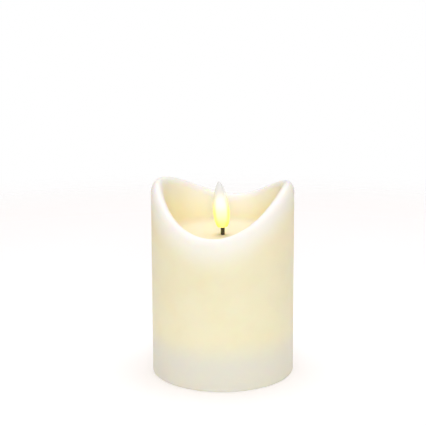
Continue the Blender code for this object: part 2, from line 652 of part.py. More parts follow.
def make_cells():
    """Two AA cells side by side, the nub of cell_1 towards +X and that of cell_2 towards -X."""
    can_edge = 0.5 * MM
    profile = [
        (0, 0),
        (CELL_RADIUS - 1.2 * MM, 0),
        (CELL_RADIUS - can_edge, 0.25 * MM),
        (CELL_RADIUS, 0.9 * MM),
        (CELL_RADIUS, CELL_CAN_LENGTH - can_edge),
        (CELL_RADIUS - can_edge, CELL_CAN_LENGTH),
        (CELL_NUB_RADIUS + 0.6 * MM, CELL_CAN_LENGTH),
        (CELL_NUB_RADIUS, CELL_CAN_LENGTH + 0.2 * MM),
        (CELL_NUB_RADIUS - 0.3 * MM, CELL_CAN_LENGTH + CELL_NUB_LENGTH),
        (0, CELL_CAN_LENGTH + CELL_NUB_LENGTH),
    ]
    flat_end = CELL_NUB_X - CELL_CAN_LENGTH - CELL_NUB_LENGTH
    for number, side in ((1, 1), (2, -1)):
        cell = turned(f"cell_{number}", profile, CELL_JACKET, 36)
        cell.rotation_euler = (0, side * math.pi / 2, 0)
        cell.location = (side * flat_end, -side * CELL_PITCH / 2, CELL_AXIS_Z)


def contact_plate(name, side_x, low_y, high_y, tail_y=None):
    """An upright nickel plate across a bay end, with an optional solder tail through the roof."""
    inner, outer = side_x * CONTACT_X, side_x * (CONTACT_X + CONTACT_THICKNESS)
    near, far = min(inner, outer), max(inner, outer)
    plate = box(name, (near, low_y, CONTACT_BOTTOM), (far, high_y, CONTACT_TOP), NICKEL)
    if tail_y is not None:
        tail_low = (near, tail_y - TAIL_HALF_WIDTH, CONTACT_TOP - 1 * MM)
        join(plate, box("add_tail_of_" + name, tail_low, (far, tail_y + TAIL_HALF_WIDTH, TAIL_TOP)))
    return plate


def contact_spring(name, side_x, y):
    """A conical coil from a contact plate to the flat end of a cell."""
    start = side_x * (CONTACT_X - FIT_GAP - SPRING_WIRE)
    travel = SPRING_LENGTH - 2 * SPRING_WIRE
    steps = round(SPRING_TURNS * 16)
    route = []
    for step in range(steps + 1):
        share = step / steps
        angle = 2 * math.pi * SPRING_TURNS * share
        radius = SPRING_WIDE_RADIUS + (SPRING_NARROW_RADIUS - SPRING_WIDE_RADIUS) * share
        x = start - side_x * travel * share
        route.append((x, y + radius * math.cos(angle), CELL_AXIS_Z + radius * math.sin(angle)))
    wire(name, route, SPRING_WIRE, NICKEL)


def make_contacts():
    """The three plates and two springs. The bridge plate spans both cells at the hinge end."""
    lane = CELL_PITCH / 2
    half = CONTACT_HALF_WIDTH
    contact_plate("negative_plate", -1, -lane - half, -lane + half, -lane)
    contact_plate("positive_plate", -1, lane - half, lane + half, lane)
    contact_plate("bridge_plate", 1, -lane - half, lane + half)
    contact_spring("negative_spring", -1, -lane)
    contact_spring("bridge_spring", 1, lane)


# ---------------------------------------------------------------- board and switch
def make_board():
    """The board and its four larger parts, which stand on it with a fit gap."""
    low = (-BOARD_HALF_LENGTH, BOARD_FAR_Y, BOARD_BOTTOM)
    board = box("control_board", low, (BOARD_HALF_LENGTH, BOARD_NEAR_Y, BOARD_TOP), BOARD_GREEN)
    for side in (-1, 1):
        x = side * BOARD_SCREW_X
        cut(board, rod(f"cut_board_hole_{side}", x, BOARD_SCREW_Y, 1.2 * MM, 9 * MM, 13 * MM, 16))
    seat = BOARD_TOP + FIT_GAP
    chip_low, chip_high = (-8.5 * MM, -24.5 * MM, seat), (-3.5 * MM, -20.6 * MM, seat + 1.4 * MM)
    ease_edges(box("timer_chip", chip_low, chip_high, BLACK_PLASTIC), 0.2 * MM)
    can = [(0, 0), (0.9 * MM, 0), (1.05 * MM, 0.3 * MM)]
    can += [(1.05 * MM, 5.8 * MM), (0.9 * MM, 6 * MM), (0, 6 * MM)]
    crystal = turned("timer_crystal", can, NICKEL, 16, (3.5 * MM, -20.5 * MM, seat + 1.1 * MM))
    crystal.rotation_euler = (0, math.pi / 2, 0)
    drum = [
        (0, 0),
        (2.0 * MM, 0),
        (2.0 * MM, 0.7 * MM),
        (1.8 * MM, 0.9 * MM),
        (2.0 * MM, 1.1 * MM),
        (2.0 * MM, 4.8 * MM),
        (1.8 * MM, 5.0 * MM),
        (0, 5.0 * MM),
    ]
    turned("storage_capacitor", drum, BLACK_INSULATION, 20, (5.5 * MM, -24.8 * MM, seat))
    body = [
        (0, 0),
        (0.7 * MM, 0),
        (0.95 * MM, 0.5 * MM),
        (0.8 * MM, 1.3 * MM),
        (0.8 * MM, 2.7 * MM),
        (0.95 * MM, 3.5 * MM),
        (0.7 * MM, 4.0 * MM),
        (0, 4.0 * MM),
    ]
    resistor = turned("led_resistor", body, RESISTOR_TAN, 14, (-2.5 * MM, -26.3 * MM, seat + 1.0 * MM))
    resistor.rotation_euler = (0, math.pi / 2, 0)


def make_switch():
    """A three-position slide switch. At rest the knob is at its -X end, which is on."""
    frame_low = (-6.2 * MM, SWITCH_Y - 3.1 * MM, SWITCH_FRAME_BOTTOM)
    frame_high = (6.2 * MM, SWITCH_Y + 3.1 * MM, BOARD_BOTTOM - FIT_GAP)
    frame = box("switch_frame", frame_low, frame_high, NICKEL)
    inside_low = (-4.8 * MM, SWITCH_Y - 2.0 * MM, SWITCH_FRAME_BOTTOM + 0.6 * MM)
    inside_high = (4.8 * MM, SWITCH_Y + 2.0 * MM, SWITCH_FRAME_BOTTOM + 3.0 * MM)
    cut(frame, box("cut_switch_inside", inside_low, inside_high))
    mouth_low = (-3.9 * MM, SWITCH_Y - 1.5 * MM, SWITCH_FRAME_BOTTOM - 1 * MM)
    mouth_high = (3.9 * MM, SWITCH_Y + 1.5 * MM, SWITCH_FRAME_BOTTOM + 1 * MM)
    cut(frame, box("cut_switch_mouth", mouth_low, mouth_high))

    rest_x = -SWITCH_TRAVEL / 2
    stem_low = (rest_x - 1.6 * MM, SWITCH_Y - 1.25 * MM, PLATE_BOTTOM + 0.1 * MM)
    stem_high = (rest_x + 1.6 * MM, SWITCH_Y + 1.25 * MM, SWITCH_FRAME_BOTTOM + 1.2 * MM)
    knob = box("switch_knob", stem_low, stem_high, BLACK_PLASTIC)
    foot_low = (rest_x - 2.2 * MM, SWITCH_Y - 1.7 * MM, SWITCH_FRAME_BOTTOM + 0.9 * MM)
    foot_high = (rest_x + 2.2 * MM, SWITCH_Y + 1.7 * MM, SWITCH_FRAME_BOTTOM + 2.6 * MM)
    join(knob, box("add_knob_foot", foot_low, foot_high))
    for number in range(3):
        x = rest_x - 1.05 * MM + number * 0.8 * MM
        groove_low = (x, SWITCH_Y - 2 * MM, PLATE_BOTTOM - 1 * MM)
        groove_high = (x + 0.4 * MM, SWITCH_Y + 2 * MM, PLATE_BOTTOM + 0.5 * MM)
        cut(knob, box(f"cut_knob_groove_{number}", groove_low, groove_high))


def screw(name, x, y, head_bottom, head_radius, head_height, shank_radius, length):
    """A pan-head screw driven upwards, with a cross recess and a thread of plain rings."""
    shoulder = head_bottom + head_height
    profile = [(0, head_bottom), (head_radius * 0.75, head_bottom)]
    profile += [(head_radius, head_bottom + head_height * 0.45), (head_radius, shoulder)]
    profile += [(shank_radius * 0.85, shoulder)]
    pitch = shank_radius * 0.9
    turns = int((length - shank_radius) / pitch)
    for turn in range(turns):
        z = shoulder + (turn + 0.5) * pitch
        profile += [(shank_radius, z), (shank_radius * 0.72, z + pitch * 0.5)]
    profile += [(0, shoulder + length)]
    made = turned(name, profile, NICKEL, 16, (x, y, 0))
    arm, half, depth = head_radius * 0.6, head_radius * 0.13, head_height * 0.6
    for number, (reach_x, reach_y) in enumerate(((arm, half), (half, arm))):
        low = (x - reach_x, y - reach_y, head_bottom - 1 * MM)
        cut(made, box(f"cut_{name}_{number}", low, (x + reach_x, y + reach_y, head_bottom + depth)))


def make_screws():
    for number, (x, y) in enumerate(BASE_SCREWS, 1):
        screw(f"base_screw_{number}", x, y, 0.5 * MM, 2.4 * MM, 1.0 * MM, 1.0 * MM, 8.5 * MM)
    for number, side in ((1, -1), (2, 1)):
        x = side * BOARD_SCREW_X
        screw(f"board_screw_{number}", x, BOARD_SCREW_Y, 9.0 * MM, 1.9 * MM, 1.1 * MM, 0.8 * MM, 6 * MM)


def make_battery_wires():
    """Wires from the solder tails over the housing and down its wire slot to the board."""
    start_x, start_z = -CONTACT_X + FIT_GAP + WIRE_RADIUS, TAIL_TOP - 0.8 * MM
    lane = CELL_PITCH / 2
    over, landing = HOUSING_TOP + 0.95 * MM, BOARD_TOP + FIT_GAP
    red = [
        Vector((start_x, lane, start_z)),
        Vector((-22 * MM, 6 * MM, over)),
        Vector((-15 * MM, -3 * MM, over)),
        Vector((-8.6 * MM, -13 * MM, over)),
        Vector((-6.4 * MM, -18.2 * MM, over - 0.4 * MM)),
        Vector((-6.2 * MM, -19.3 * MM, 18 * MM)),
        Vector((-6.2 * MM, -19.3 * MM, landing)),
    ]
    black = [
        Vector((start_x, -lane, start_z)),
        Vector((-22 * MM, -11 * MM, over)),
        Vector((-14 * MM, -16 * MM, over)),
        Vector((-9.6 * MM, -18.4 * MM, over - 0.4 * MM)),
        Vector((-9.0 * MM, -19.3 * MM, 18 * MM)),
        Vector((-9.0 * MM, -19.3 * MM, landing)),
    ]
    wire("battery_wire_red", smooth_route(red, 2.5 * MM), WIRE_RADIUS, RED_INSULATION)
    wire("battery_wire_black", smooth_route(black, 2.5 * MM), WIRE_RADIUS, BLACK_INSULATION)


def main():
    clear_scene()
    make_wax_shell()
    make_flame_tip()
    make_flame_led()
    make_wick()
    make_wick_holder()
    make_led_leads()
    make_battery_housing()
    make_base_plate()
    make_battery_door()
    make_cells()
    make_contacts()
    make_board()
    make_switch()
    make_screws()
    make_battery_wires()


main()
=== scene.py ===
# %% [markdown]
# # A flameless LED candle
#
# The candle is a thick cup of cast wax with a wavy rim. A frosted flame stands on a dark stem in its pool,
# and a moulded battery base closes it from below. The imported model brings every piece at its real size, so
# this lesson dresses those pieces, makes most of those that show again with a finer surface, and lights them
# in a plain white studio.

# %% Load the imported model
import json
from math import copysign, cos, hypot, pi, radians, sin, sqrt

import bmesh
import bpy
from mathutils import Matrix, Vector, noise


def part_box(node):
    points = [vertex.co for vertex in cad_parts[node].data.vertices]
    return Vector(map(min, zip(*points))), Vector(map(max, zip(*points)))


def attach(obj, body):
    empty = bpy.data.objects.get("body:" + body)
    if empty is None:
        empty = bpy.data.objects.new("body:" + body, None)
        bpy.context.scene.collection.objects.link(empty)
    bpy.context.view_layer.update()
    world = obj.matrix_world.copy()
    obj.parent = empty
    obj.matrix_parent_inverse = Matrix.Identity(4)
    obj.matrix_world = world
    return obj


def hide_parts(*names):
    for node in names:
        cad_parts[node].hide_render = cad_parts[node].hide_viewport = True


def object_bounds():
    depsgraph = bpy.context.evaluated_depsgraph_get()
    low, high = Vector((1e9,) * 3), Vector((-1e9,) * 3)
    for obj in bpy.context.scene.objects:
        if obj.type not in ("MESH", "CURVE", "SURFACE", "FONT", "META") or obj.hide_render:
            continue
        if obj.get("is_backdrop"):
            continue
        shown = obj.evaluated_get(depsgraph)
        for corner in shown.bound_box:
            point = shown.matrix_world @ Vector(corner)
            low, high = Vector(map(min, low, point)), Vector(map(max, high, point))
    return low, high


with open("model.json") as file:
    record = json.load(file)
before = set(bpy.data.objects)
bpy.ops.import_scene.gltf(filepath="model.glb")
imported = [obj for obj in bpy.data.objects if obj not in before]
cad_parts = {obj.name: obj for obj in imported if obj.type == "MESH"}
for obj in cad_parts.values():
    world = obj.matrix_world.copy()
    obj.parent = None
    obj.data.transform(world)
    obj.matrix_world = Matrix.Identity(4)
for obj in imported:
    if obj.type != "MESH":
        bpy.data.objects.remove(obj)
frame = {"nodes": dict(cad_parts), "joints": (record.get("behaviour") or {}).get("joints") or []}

MM = 0.001


def in_mm(lengths):
    """Lengths in mm, rounded for printing."""
    return [round(length / MM, 1) for length in lengths]


packed_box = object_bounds()
print("packed box in mm:", [in_mm(corner) for corner in packed_box])


# %% [markdown]
# ## Colours and nodes
#
# Blender's shaders work in linear light, and a hex colour is in sRGB, so one function turns it into the
# linear one. A material is a few nodes wired together. One function adds a node with its settings and its
# inputs: a number, a colour, or another node, whose main output it takes. Each kind of finish is a recipe,
# which gives the inputs of the Principled shader.

# %% Colour, node and material helpers
def linear(hex_colour):
    """The linear RGBA colour of an sRGB hex value such as 'F4EBCC'."""
    channels = [int(hex_colour[i : i + 2], 16) / 255 for i in (0, 2, 4)]
    return (*[c / 12.92 if c <= 0.04045 else ((c + 0.055) / 1.055) ** 2.4 for c in channels], 1.0)


def feed(tree, node, inputs):
    """Gives each named input a number, a hex or linear colour, an output, or a node's main output."""
    for name, value in inputs.items():
        fitting = [socket for socket in node.inputs if socket.enabled and socket.name == name]
        socket = node.inputs[name] if isinstance(name, int) else fitting[0]
        if isinstance(value, str):
            value = linear(value)
        if isinstance(value, bpy.types.Node):
            value = next(output for output in value.outputs if output.enabled)
        if isinstance(value, bpy.types.NodeSocket):
            tree.links.new(value, socket)
        else:
            socket.default_value = value


def add_node(tree, kind, inputs=None, **settings):
    """Adds a shader node with its settings and its links."""
    node = tree.nodes.new("ShaderNode" + kind)
    for name, value in settings.items():
        setattr(node, name, value)
    feed(tree, node, inputs or {})
    return node


def make_material(name, recipe, *values):
    """A material whose Principled shader takes the inputs that a recipe gives."""
    material = bpy.data.materials.new(name)
    material.use_nodes = True
    tree = material.node_tree
    feed(tree, tree.nodes["Principled BSDF"], recipe(tree, *values))
    return material


print("F4EBCC in linear light:", [round(c, 3) for c in linear("F4EBCC")])


# %% [markdown]
# ## Patterns in real sizes
#
# Some patterns come back in every finish, so each has a function made of several nodes. Lumps are cloudy
# noise of a real size: the scale is how many lumps fit in one metre, in the object's own coordinates, which
# stay on the piece when it moves. A grade leads smoothly from one number or colour to another while some
# measure, such as the height, goes from a start to an end, and a mottle does so in cloudy patches. Relief
# lays bumps over each other, each with a real height.

# %% Pattern helpers
LUMPS_LOW = 0.3
LUMPS_HIGH = 0.7


def own_place(tree):
    """Where a point is, in the object's own coordinates."""
    return add_node(tree, "TexCoord").outputs["Object"]


def own_height(tree):
    """How high a point is, in the object's own coordinates."""
    return add_node(tree, "SeparateXYZ", {"Vector": own_place(tree)}).outputs["Z"]


def own_radius(tree):
    """How far a point is from the object's own Z axis."""
    place = add_node(tree, "SeparateXYZ", {"Vector": own_place(tree)})
    flat = add_node(tree, "CombineXYZ", {"X": place.outputs["X"], "Y": place.outputs["Y"]})
    return add_node(tree, "VectorMath", {0: flat}, operation="LENGTH").outputs["Value"]


def lumps(tree, size_mm, detail=3.0, rough=0.5, stretch=(1, 1, 1)):
    """Cloudy noise whose lumps have a real size. Its value is mostly from LUMPS_LOW to LUMPS_HIGH."""
    place = add_node(tree, "Mapping", {"Vector": own_place(tree), "Scale": stretch})
    scale = 1 / (size_mm * MM)
    return add_node(tree, "TexNoise", {"Vector": place, "Scale": scale, "Detail": detail, "Roughness": rough})


def grade(tree, measure, start, end, first, last):
    """Leads from a first number or colour to a last one, while a measure goes from start to end."""
    numbers = isinstance(first, (int, float)) and isinstance(last, (int, float))
    low, high = (first, last) if numbers else (0.0, 1.0)
    ends = {"Value": measure, "From Min": start, "From Max": end, "To Min": low, "To Max": high}
    share = add_node(tree, "MapRange", ends, interpolation_type="SMOOTHSTEP")
    if numbers:
        return share
    return add_node(tree, "Mix", {"Factor": share, "A": first, "B": last}, data_type="RGBA")


def mottle(tree, size_mm, first, last, high=LUMPS_HIGH):
    """Leads from a first number or colour to a last one, in cloudy patches of a real size."""
    return grade(tree, lumps(tree, size_mm), LUMPS_LOW, high, first, last)


def relief(tree, *layers):
    """Bumps laid over each other. Each layer is a pattern and its height in mm."""
    top = None
    for pattern, height_mm in layers:
        under = {"Normal": top} if top else {}
        top = add_node(tree, "Bump", {"Height": pattern, "Distance": height_mm * MM, **under})
    return top


# %% [markdown]
# ## Surfaces and pieces
#
# Most pieces go round an axis, and each is a closed surface of rings. A turned piece is a profile of
# (radius, z) points that goes all the way round. A profile that starts and ends on the axis makes a solid,
# and the points that meet there are merged into one. A finished piece rides on a body, and stands for the
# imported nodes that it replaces.

# %% Helpers for new pieces
SAME_POINT = 0.0001 * MM
SHARP_ANGLE = 35


def put_in_scene(name, data):
    """A new object in the scene, with a mesh, a curve, a light or a camera as its data."""
    made = bpy.data.objects.new(name, data)
    bpy.context.scene.collection.objects.link(made)
    return made


def turn_angles(count):
    """Equal steps of one turn, in radians."""
    return [2 * pi * i / count for i in range(count)]


def spot(radius, angle, z):
    """The point at a distance from the Z axis, an angle from +X and a height."""
    return radius * cos(angle), radius * sin(angle), z


def ring_surface(name, rings):
    """A closed surface of quads between rings of points, the last of which meets the first."""
    count = len(rings[0])
    faces = []
    for row in range(len(rings)):
        here, there = row * count, (row + 1) % len(rings) * count
        for i in range(count):
            j = (i + 1) % count
            faces.append((here + i, here + j, there + j, there + i))
    mesh = bpy.data.meshes.new(name)
    mesh.from_pydata([point for ring in rings for point in ring], [], faces)
    return mesh


def merge_points(mesh):
    """Merges points that lie in one place, and drops the faces that this leaves without an area."""
    bm = bmesh.new()
    bm.from_mesh(mesh)
    bmesh.ops.remove_doubles(bm, verts=bm.verts, dist=SAME_POINT)
    bmesh.ops.dissolve_degenerate(bm, edges=bm.edges, dist=SAME_POINT)
    bm.to_mesh(mesh)
    bm.free()
    return mesh


def turned_mesh(name, profile, segments):
    """Turns a closed profile about Z. It runs upwards on its outer side."""
    rings = [[spot(radius, angle, z) for angle in turn_angles(segments)] for radius, z in profile]
    return merge_points(ring_surface(name, rings))


def smooth(mesh, sharp_angle=SHARP_ANGLE):
    """Shades a mesh smooth, but for its edges that turn more than the sharp angle."""
    mesh.shade_smooth()
    mesh.set_sharp_from_angle(angle=radians(sharp_angle))


def add_piece(name, mesh, materials, body, replaced=(), sharp_angle=SHARP_ANGLE):
    """Puts a mesh in the scene as a piece of a body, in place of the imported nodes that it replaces."""
    piece = put_in_scene(name, mesh)
    for material in materials:
        mesh.materials.append(material)
    smooth(mesh, sharp_angle)
    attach(piece, body)
    if replaced:
        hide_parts(*replaced)
    return piece


print("quarter turns in radians:", turn_angles(4))


# %% [markdown]
# ## The wax
#
# The shell is cast paraffin wax, dyed ivory. Light goes a few millimetres into wax and comes out warmer,
# which is why it looks soft and why its thin parts look bright. The subsurface radius is that depth for red,
# green and blue light. The rim's palest colour is a painted glow, for the light that scatters in its thin wax
# and falls on its rounded crest from above. The lowest 20 mm stand round the battery tub of white plastic,
# and their paler, greyer band with a soft upper edge is painted shade, for the light that the tub keeps from
# scattering through the thin wax there. The pool's floor is a little deeper in colour than the wall. Casting
# leaves a faint cloudiness, and a bloom whose real grain of some 0.05 mm is drawn at 0.9 mm so that it shows.

# %% Wax material
WAX_BODY = "F9F1D0"
# painted glow of the thin, top-lit rim
WAX_RIM_GLOW = "FFFFF3"
# painted shade of the band that stands round the battery tub
WAX_TUB_SHADE = "EBE7D9"
WAX_CLOUD = "F5EAC4"
WAX_POOL = "F1E6C7"
TUB_SHADE_FADE = 11.0 * MM, 28.0 * MM
POOL_FADE = 26.0 * MM, 32.0 * MM
SCATTER_DEPTH = 7.0 * MM
SCATTER_RGB = (1.0, 0.62, 0.28)


def cast_wax(tree):
    rim_glow_share = add_node(tree, "Attribute", attribute_name="rim_glow_share").outputs["Fac"]
    body = grade(tree, lumps(tree, 14, detail=2), LUMPS_LOW, 1.2, WAX_BODY, WAX_CLOUD)
    in_pool = grade(tree, own_radius(tree), *POOL_FADE, WAX_POOL, body)
    # the rim's paler colour is a painted glow of the light in its thin wax
    with_rim_glow = grade(tree, rim_glow_share, 0.0, 1.0, in_pool, WAX_RIM_GLOW)
    bloom = lumps(tree, 0.9, detail=4, rough=0.6)
    return {
        # the greyer band over the battery tub is painted shade
        "Base Color": grade(tree, own_height(tree), *TUB_SHADE_FADE, WAX_TUB_SHADE, with_rim_glow),
        "Roughness": mottle(tree, 5, 0.40, 0.52),
        "Normal": relief(tree, (lumps(tree, 9, detail=2), 0.06), (bloom, 0.010)),
        "IOR": 1.44,
        "Specular IOR Level": 0.4,
        "Subsurface Weight": 0.6,
        "Subsurface Scale": SCATTER_DEPTH,
        "Subsurface Radius": SCATTER_RGB,
    }


wax = make_material("cast_paraffin_wax", cast_wax)
print("wax nodes:", len(wax.node_tree.nodes))


# %% [markdown]
# ## The wax shell's shape
#
# The rim's height changes on the way round, so the wall's section is a function of the angle, and rings
# through the sections make the surface. The crest has two peaks and two dips, and the front dip is the deeper
# one. Each section runs up the outer wall, over the crest, down into the pool, through the wick hole, and
# back down the inside to the battery socket.

# %% Crest of the rim
_, wax_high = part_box("wax_shell")
WAX_RADIUS = wax_high.x
PEAK_HEIGHT = wax_high.z
RIM_FRONT_DIP = 23.4 * MM
RIM_BACK_DIP = 13.6 * MM
RIM_FRONT_SHARPEN = 1.0 * MM
RIM_BACK_SHARPEN = -1.5 * MM


def crest_height(angle):
    """Height of the rim at an angle from +X."""
    front = sin(angle) < 0
    dip = RIM_FRONT_DIP if front else RIM_BACK_DIP
    sharpen = RIM_FRONT_SHARPEN if front else RIM_BACK_SHARPEN
    return PEAK_HEIGHT - dip * sin(angle) ** 2 - sharpen * sin(2 * angle) ** 2


print("crest, peak and dips in mm:", in_mm(crest_height(a) for a in (0, pi / 2, -pi / 2)))


# %% Section of the wall
CREST_RADIUS = 34.0 * MM
OUTER_ROUND_Z = 6.0 * MM
INNER_ROUND_Z = 4.5 * MM
INNER_WALL = 31.0 * MM
FOOT_ROUND = 0.8 * MM
POOL_FLOOR = 72.8 * MM
POOL_DISH = 0.8 * MM
POOL_FILLET = 4.0 * MM
POOL_FILLET_Z = 3.8 * MM
POOL_UNDERSIDE = 67.8 * MM
FLOOR_STEPS = 14
CEILING_FILLET = 4.5 * MM
HOLE_RADIUS = 1.5 * MM
MENISCUS_RADIUS = 3.2 * MM
MENISCUS_RISE = 0.45 * MM
SOCKET_RADIUS = 34.0 * MM
SOCKET_CHAMFER = 0.4 * MM
SOCKET_TOP = 21.0 * MM


def arc(centre, radius, height, start, end, steps):
    """Points of an ellipse's arc in the (radius, z) plane, in degrees, ends included."""
    angles = [radians(start + (end - start) * step / steps) for step in range(steps + 1)]
    return [(centre[0] + radius * cos(a), centre[1] + height * sin(a)) for a in angles]


def line(start, end, steps):
    """Points from one place to another, without the last."""
    shares = [step / steps for step in range(steps)]
    return [(start[0] + (end[0] - start[0]) * s, start[1] + (end[1] - start[1]) * s) for s in shares]


def pool_height(radius):
    """The pool's floor: a shallow dish, with a small rise where the wax wets the stem."""
    dish = POOL_DISH * (radius / (INNER_WALL - POOL_FILLET)) ** 2
    rise = MENISCUS_RISE * max(0.0, 1 - (radius - HOLE_RADIUS) / (MENISCUS_RADIUS - HOLE_RADIUS)) ** 2
    return POOL_FLOOR + dish + rise


def wax_section(angle):
    """The wall's closed section at one angle, anticlockwise from its foot. Also says where the pool begins.

    Where the wall is low, its inner rounding and the pool's fillet shrink, so that they never cross.
    """
    crest = crest_height(angle)
    outer_reach = WAX_RADIUS - CREST_RADIUS
    inner_reach = CREST_RADIUS - INNER_WALL
    pool_edge = INNER_WALL - POOL_FILLET
    depth = crest - pool_height(pool_edge)
    inner_round = min(INNER_ROUND_Z, 0.45 * depth)
    fillet = min(POOL_FILLET_Z, 0.5 * depth)
    fillet_z = pool_height(pool_edge) + fillet
    section = line((SOCKET_RADIUS + SOCKET_CHAMFER, 0), (WAX_RADIUS - FOOT_ROUND, 0), 2)
    section += arc((WAX_RADIUS - FOOT_ROUND, FOOT_ROUND), FOOT_ROUND, FOOT_ROUND, -90, 0, 4)
    section += line((WAX_RADIUS, 1.4 * MM), (WAX_RADIUS, crest - OUTER_ROUND_Z), 26)
    section += arc((CREST_RADIUS, crest - OUTER_ROUND_Z), outer_reach, OUTER_ROUND_Z, 0, 90, 14)
    inside_from = len(section)
    section += arc((CREST_RADIUS, crest - inner_round), inner_reach, inner_round, 97, 180, 10)
    section += line((INNER_WALL, crest - inner_round), (INNER_WALL, fillet_z), 9)[1:]
    section += arc((pool_edge, fillet_z), POOL_FILLET, fillet, 0, -90, 8)
    for step in range(1, FLOOR_STEPS + 1):
        share = sin(step / FLOOR_STEPS * pi / 2)
        radius = pool_edge + (HOLE_RADIUS + 0.2 * MM - pool_edge) * share
        section.append((radius, pool_height(radius)))
    section += line((HOLE_RADIUS, POOL_FLOOR), (HOLE_RADIUS, POOL_UNDERSIDE), 3)
    ceiling_edge = INNER_WALL - CEILING_FILLET
    section += line((HOLE_RADIUS, POOL_UNDERSIDE), (ceiling_edge, POOL_UNDERSIDE), 5)
    section += arc((ceiling_edge, POOL_UNDERSIDE - CEILING_FILLET), CEILING_FILLET, CEILING_FILLET, 90, 0, 5)
    section += line((INNER_WALL, POOL_UNDERSIDE - 5 * MM), (INNER_WALL, SOCKET_TOP), 5)
    section += line((INNER_WALL, SOCKET_TOP), (SOCKET_RADIUS, SOCKET_TOP), 2)
    section += line((SOCKET_RADIUS, SOCKET_TOP), (SOCKET_RADIUS, SOCKET_CHAMFER + 0.1 * MM), 5)
    section.append((SOCKET_RADIUS, SOCKET_CHAMFER))
    return section, inside_from


print("points in a section:", len(wax_section(0)[0]))


# %% [markdown]
# ## Small faults of casting
#
# A cast wall isn't true. Smooth noise draws the outer wall in by up to a tenth of a millimetre and lowers the
# rim by up to a third, so the candle never stands proud of its packed size. The share of the rim's painted
# glow is stored on the points: outside it fades out over 20 mm, inside the cup over 22 mm, and the pool's
# floor has none.

# %% Build the shell
WAX_SEGMENTS = 240
WANDER_FROM = 2.0 * MM
WANDER_WAVES = 1.4
WANDER_LUMP = 22.0 * MM
WALL_WANDER = 0.12 * MM
RIM_WANDER = 0.35 * MM
RIM_REACH = 12.0 * MM
RIM_GLOW_OUTSIDE = 20.0 * MM
RIM_GLOW_INSIDE = 22.0 * MM


def wander(point, angle):
    """A point of the wall, with the small faults of casting."""
    radius, z = point
    share = 0.5 + 0.5 * noise.noise(Vector(spot(WANDER_WAVES, angle, z / WANDER_LUMP)))
    if radius > CREST_RADIUS and z > WANDER_FROM:
        radius -= WALL_WANDER * share
    near_crest = max(0.0, 1 - (crest_height(angle) - z) / RIM_REACH)
    return radius, z - RIM_WANDER * share * near_crest


def make_wax_shell():
    angles = turn_angles(WAX_SEGMENTS)
    sections = [[wander(point, angle) for point in wax_section(angle)[0]] for angle in angles]
    inside_from = wax_section(0)[1]
    rings = []
    pale = []
    for row in range(len(sections[0])):
        reach = RIM_GLOW_OUTSIDE if row < inside_from else RIM_GLOW_INSIDE
        heights = [section[row][1] for section in sections]
        radii = [section[row][0] for section in sections]
        rings.append([spot(*place) for place in zip(radii, angles, heights)])
        # each point's share of the rim's painted glow; the pool's floor gets none
        on_wall = min(1.0, max(0.0, 1 - (INNER_WALL - radii[0]) / POOL_FILLET))
        pale += [on_wall * (1 - (crest_height(a) - z) / reach) for a, z in zip(angles, heights)]
    mesh = ring_surface("cast_wax_shell", rings)
    shares = mesh.attributes.new("rim_glow_share", "FLOAT", "POINT")
    shares.data.foreach_set("value", pale)
    return add_piece("cast_wax_shell", mesh, [wax], "candle", ["wax_shell"], 50)


wax_shell = make_wax_shell()
print("wax shell faces:", len(wax_shell.data.polygons))


# %% [markdown]
# ## The flame
#
# The flame is a hollow tip moulded in frosted plastic over a small warm LED. The hollow's skin has a painted
# glow, nearly white, for the LED's light. The outer skin is tinted yellow, has a little painted glow, and
# lets part of the hollow's light through, so the flame's edges, where only this skin is seen, are yellower.
# Both skins are painted yellowest at the foot, for the LED's light next to it. Above the hollow the tip is
# solid and gets little light, so its colour is painted shade, a pale, milky grey. The alpha of the outer skin
# is how much of the light it stops.

# %% Flame materials
FLAME_LENGTH = 24.4 * MM
HOLLOW_TOP = 0.80
FLAME_FOOT_LED_LIGHT = "F2DA48"
FLAME_BODY_TINT = "F6E98E"
FLAME_TIP_SHADE = "E9ECEE"
FLAME_GLOW = "FFEC78"
HOLLOW_FOOT_GLOW = "FFF5A6"
HOLLOW_GLOW = "FFFAEC"


def up_flame(tree, start, end, first, last):
    """Leads from a first number or colour to a last one, between two shares of the flame's length."""
    return grade(tree, own_height(tree), start * FLAME_LENGTH, end * FLAME_LENGTH, first, last)


def frosted_plastic(tree):
    """Frosted plastic with the glow of the LED behind it. Its frost is drawn at 0.35 mm so that it shows."""
    # the foot's deep yellow is painted LED light
    body = up_flame(tree, 0.0, 0.22, FLAME_FOOT_LED_LIGHT, FLAME_BODY_TINT)
    return {
        # the tip's grey is painted shade
        "Base Color": up_flame(tree, 0.30, 0.66, body, FLAME_TIP_SHADE),
        "Emission Color": FLAME_GLOW,
        "Emission Strength": up_flame(tree, 0.30, 0.85, 0.34, 0.0),
        "Alpha": up_flame(tree, 0.10, 0.85, 0.72, 0.38),
        "Roughness": mottle(tree, 1.5, 0.40, 0.52),
        "Normal": relief(tree, (lumps(tree, 0.35, detail=2), 0.015)),
        "IOR": 1.49,
    }


def lit_plastic(tree):
    """The lit inside of the flame. The LED lights it a little unevenly."""
    strength = up_flame(tree, 0.30, 0.82, 1.25, 0.25)
    uneven = mottle(tree, 3, 0.92, 1.08)
    return {
        "Base Color": mottle(tree, 2, "F6F2E2", "FBF9F0"),
        "Emission Color": up_flame(tree, 0.06, 0.34, HOLLOW_FOOT_GLOW, HOLLOW_GLOW),
        "Emission Strength": add_node(tree, "Math", {0: strength, 1: uneven}, operation="MULTIPLY"),
        "Roughness": 0.6,
    }


frosted_skin = make_material("frosted_polypropylene", frosted_plastic)
hollow_skin = make_material("lit_hollow", lit_plastic)
print("flame materials:", frosted_skin.name, hollow_skin.name)


# %% [markdown]
# ## The flame's shape
#
# The flame's radius is a formula of the height: a quick swell from the neck, then a long fall to the tip. The
# points crowd towards both ends, where the outline turns fastest. It leans a little to one side, as the
# packed one does, and its hollow follows the outside at an even wall.

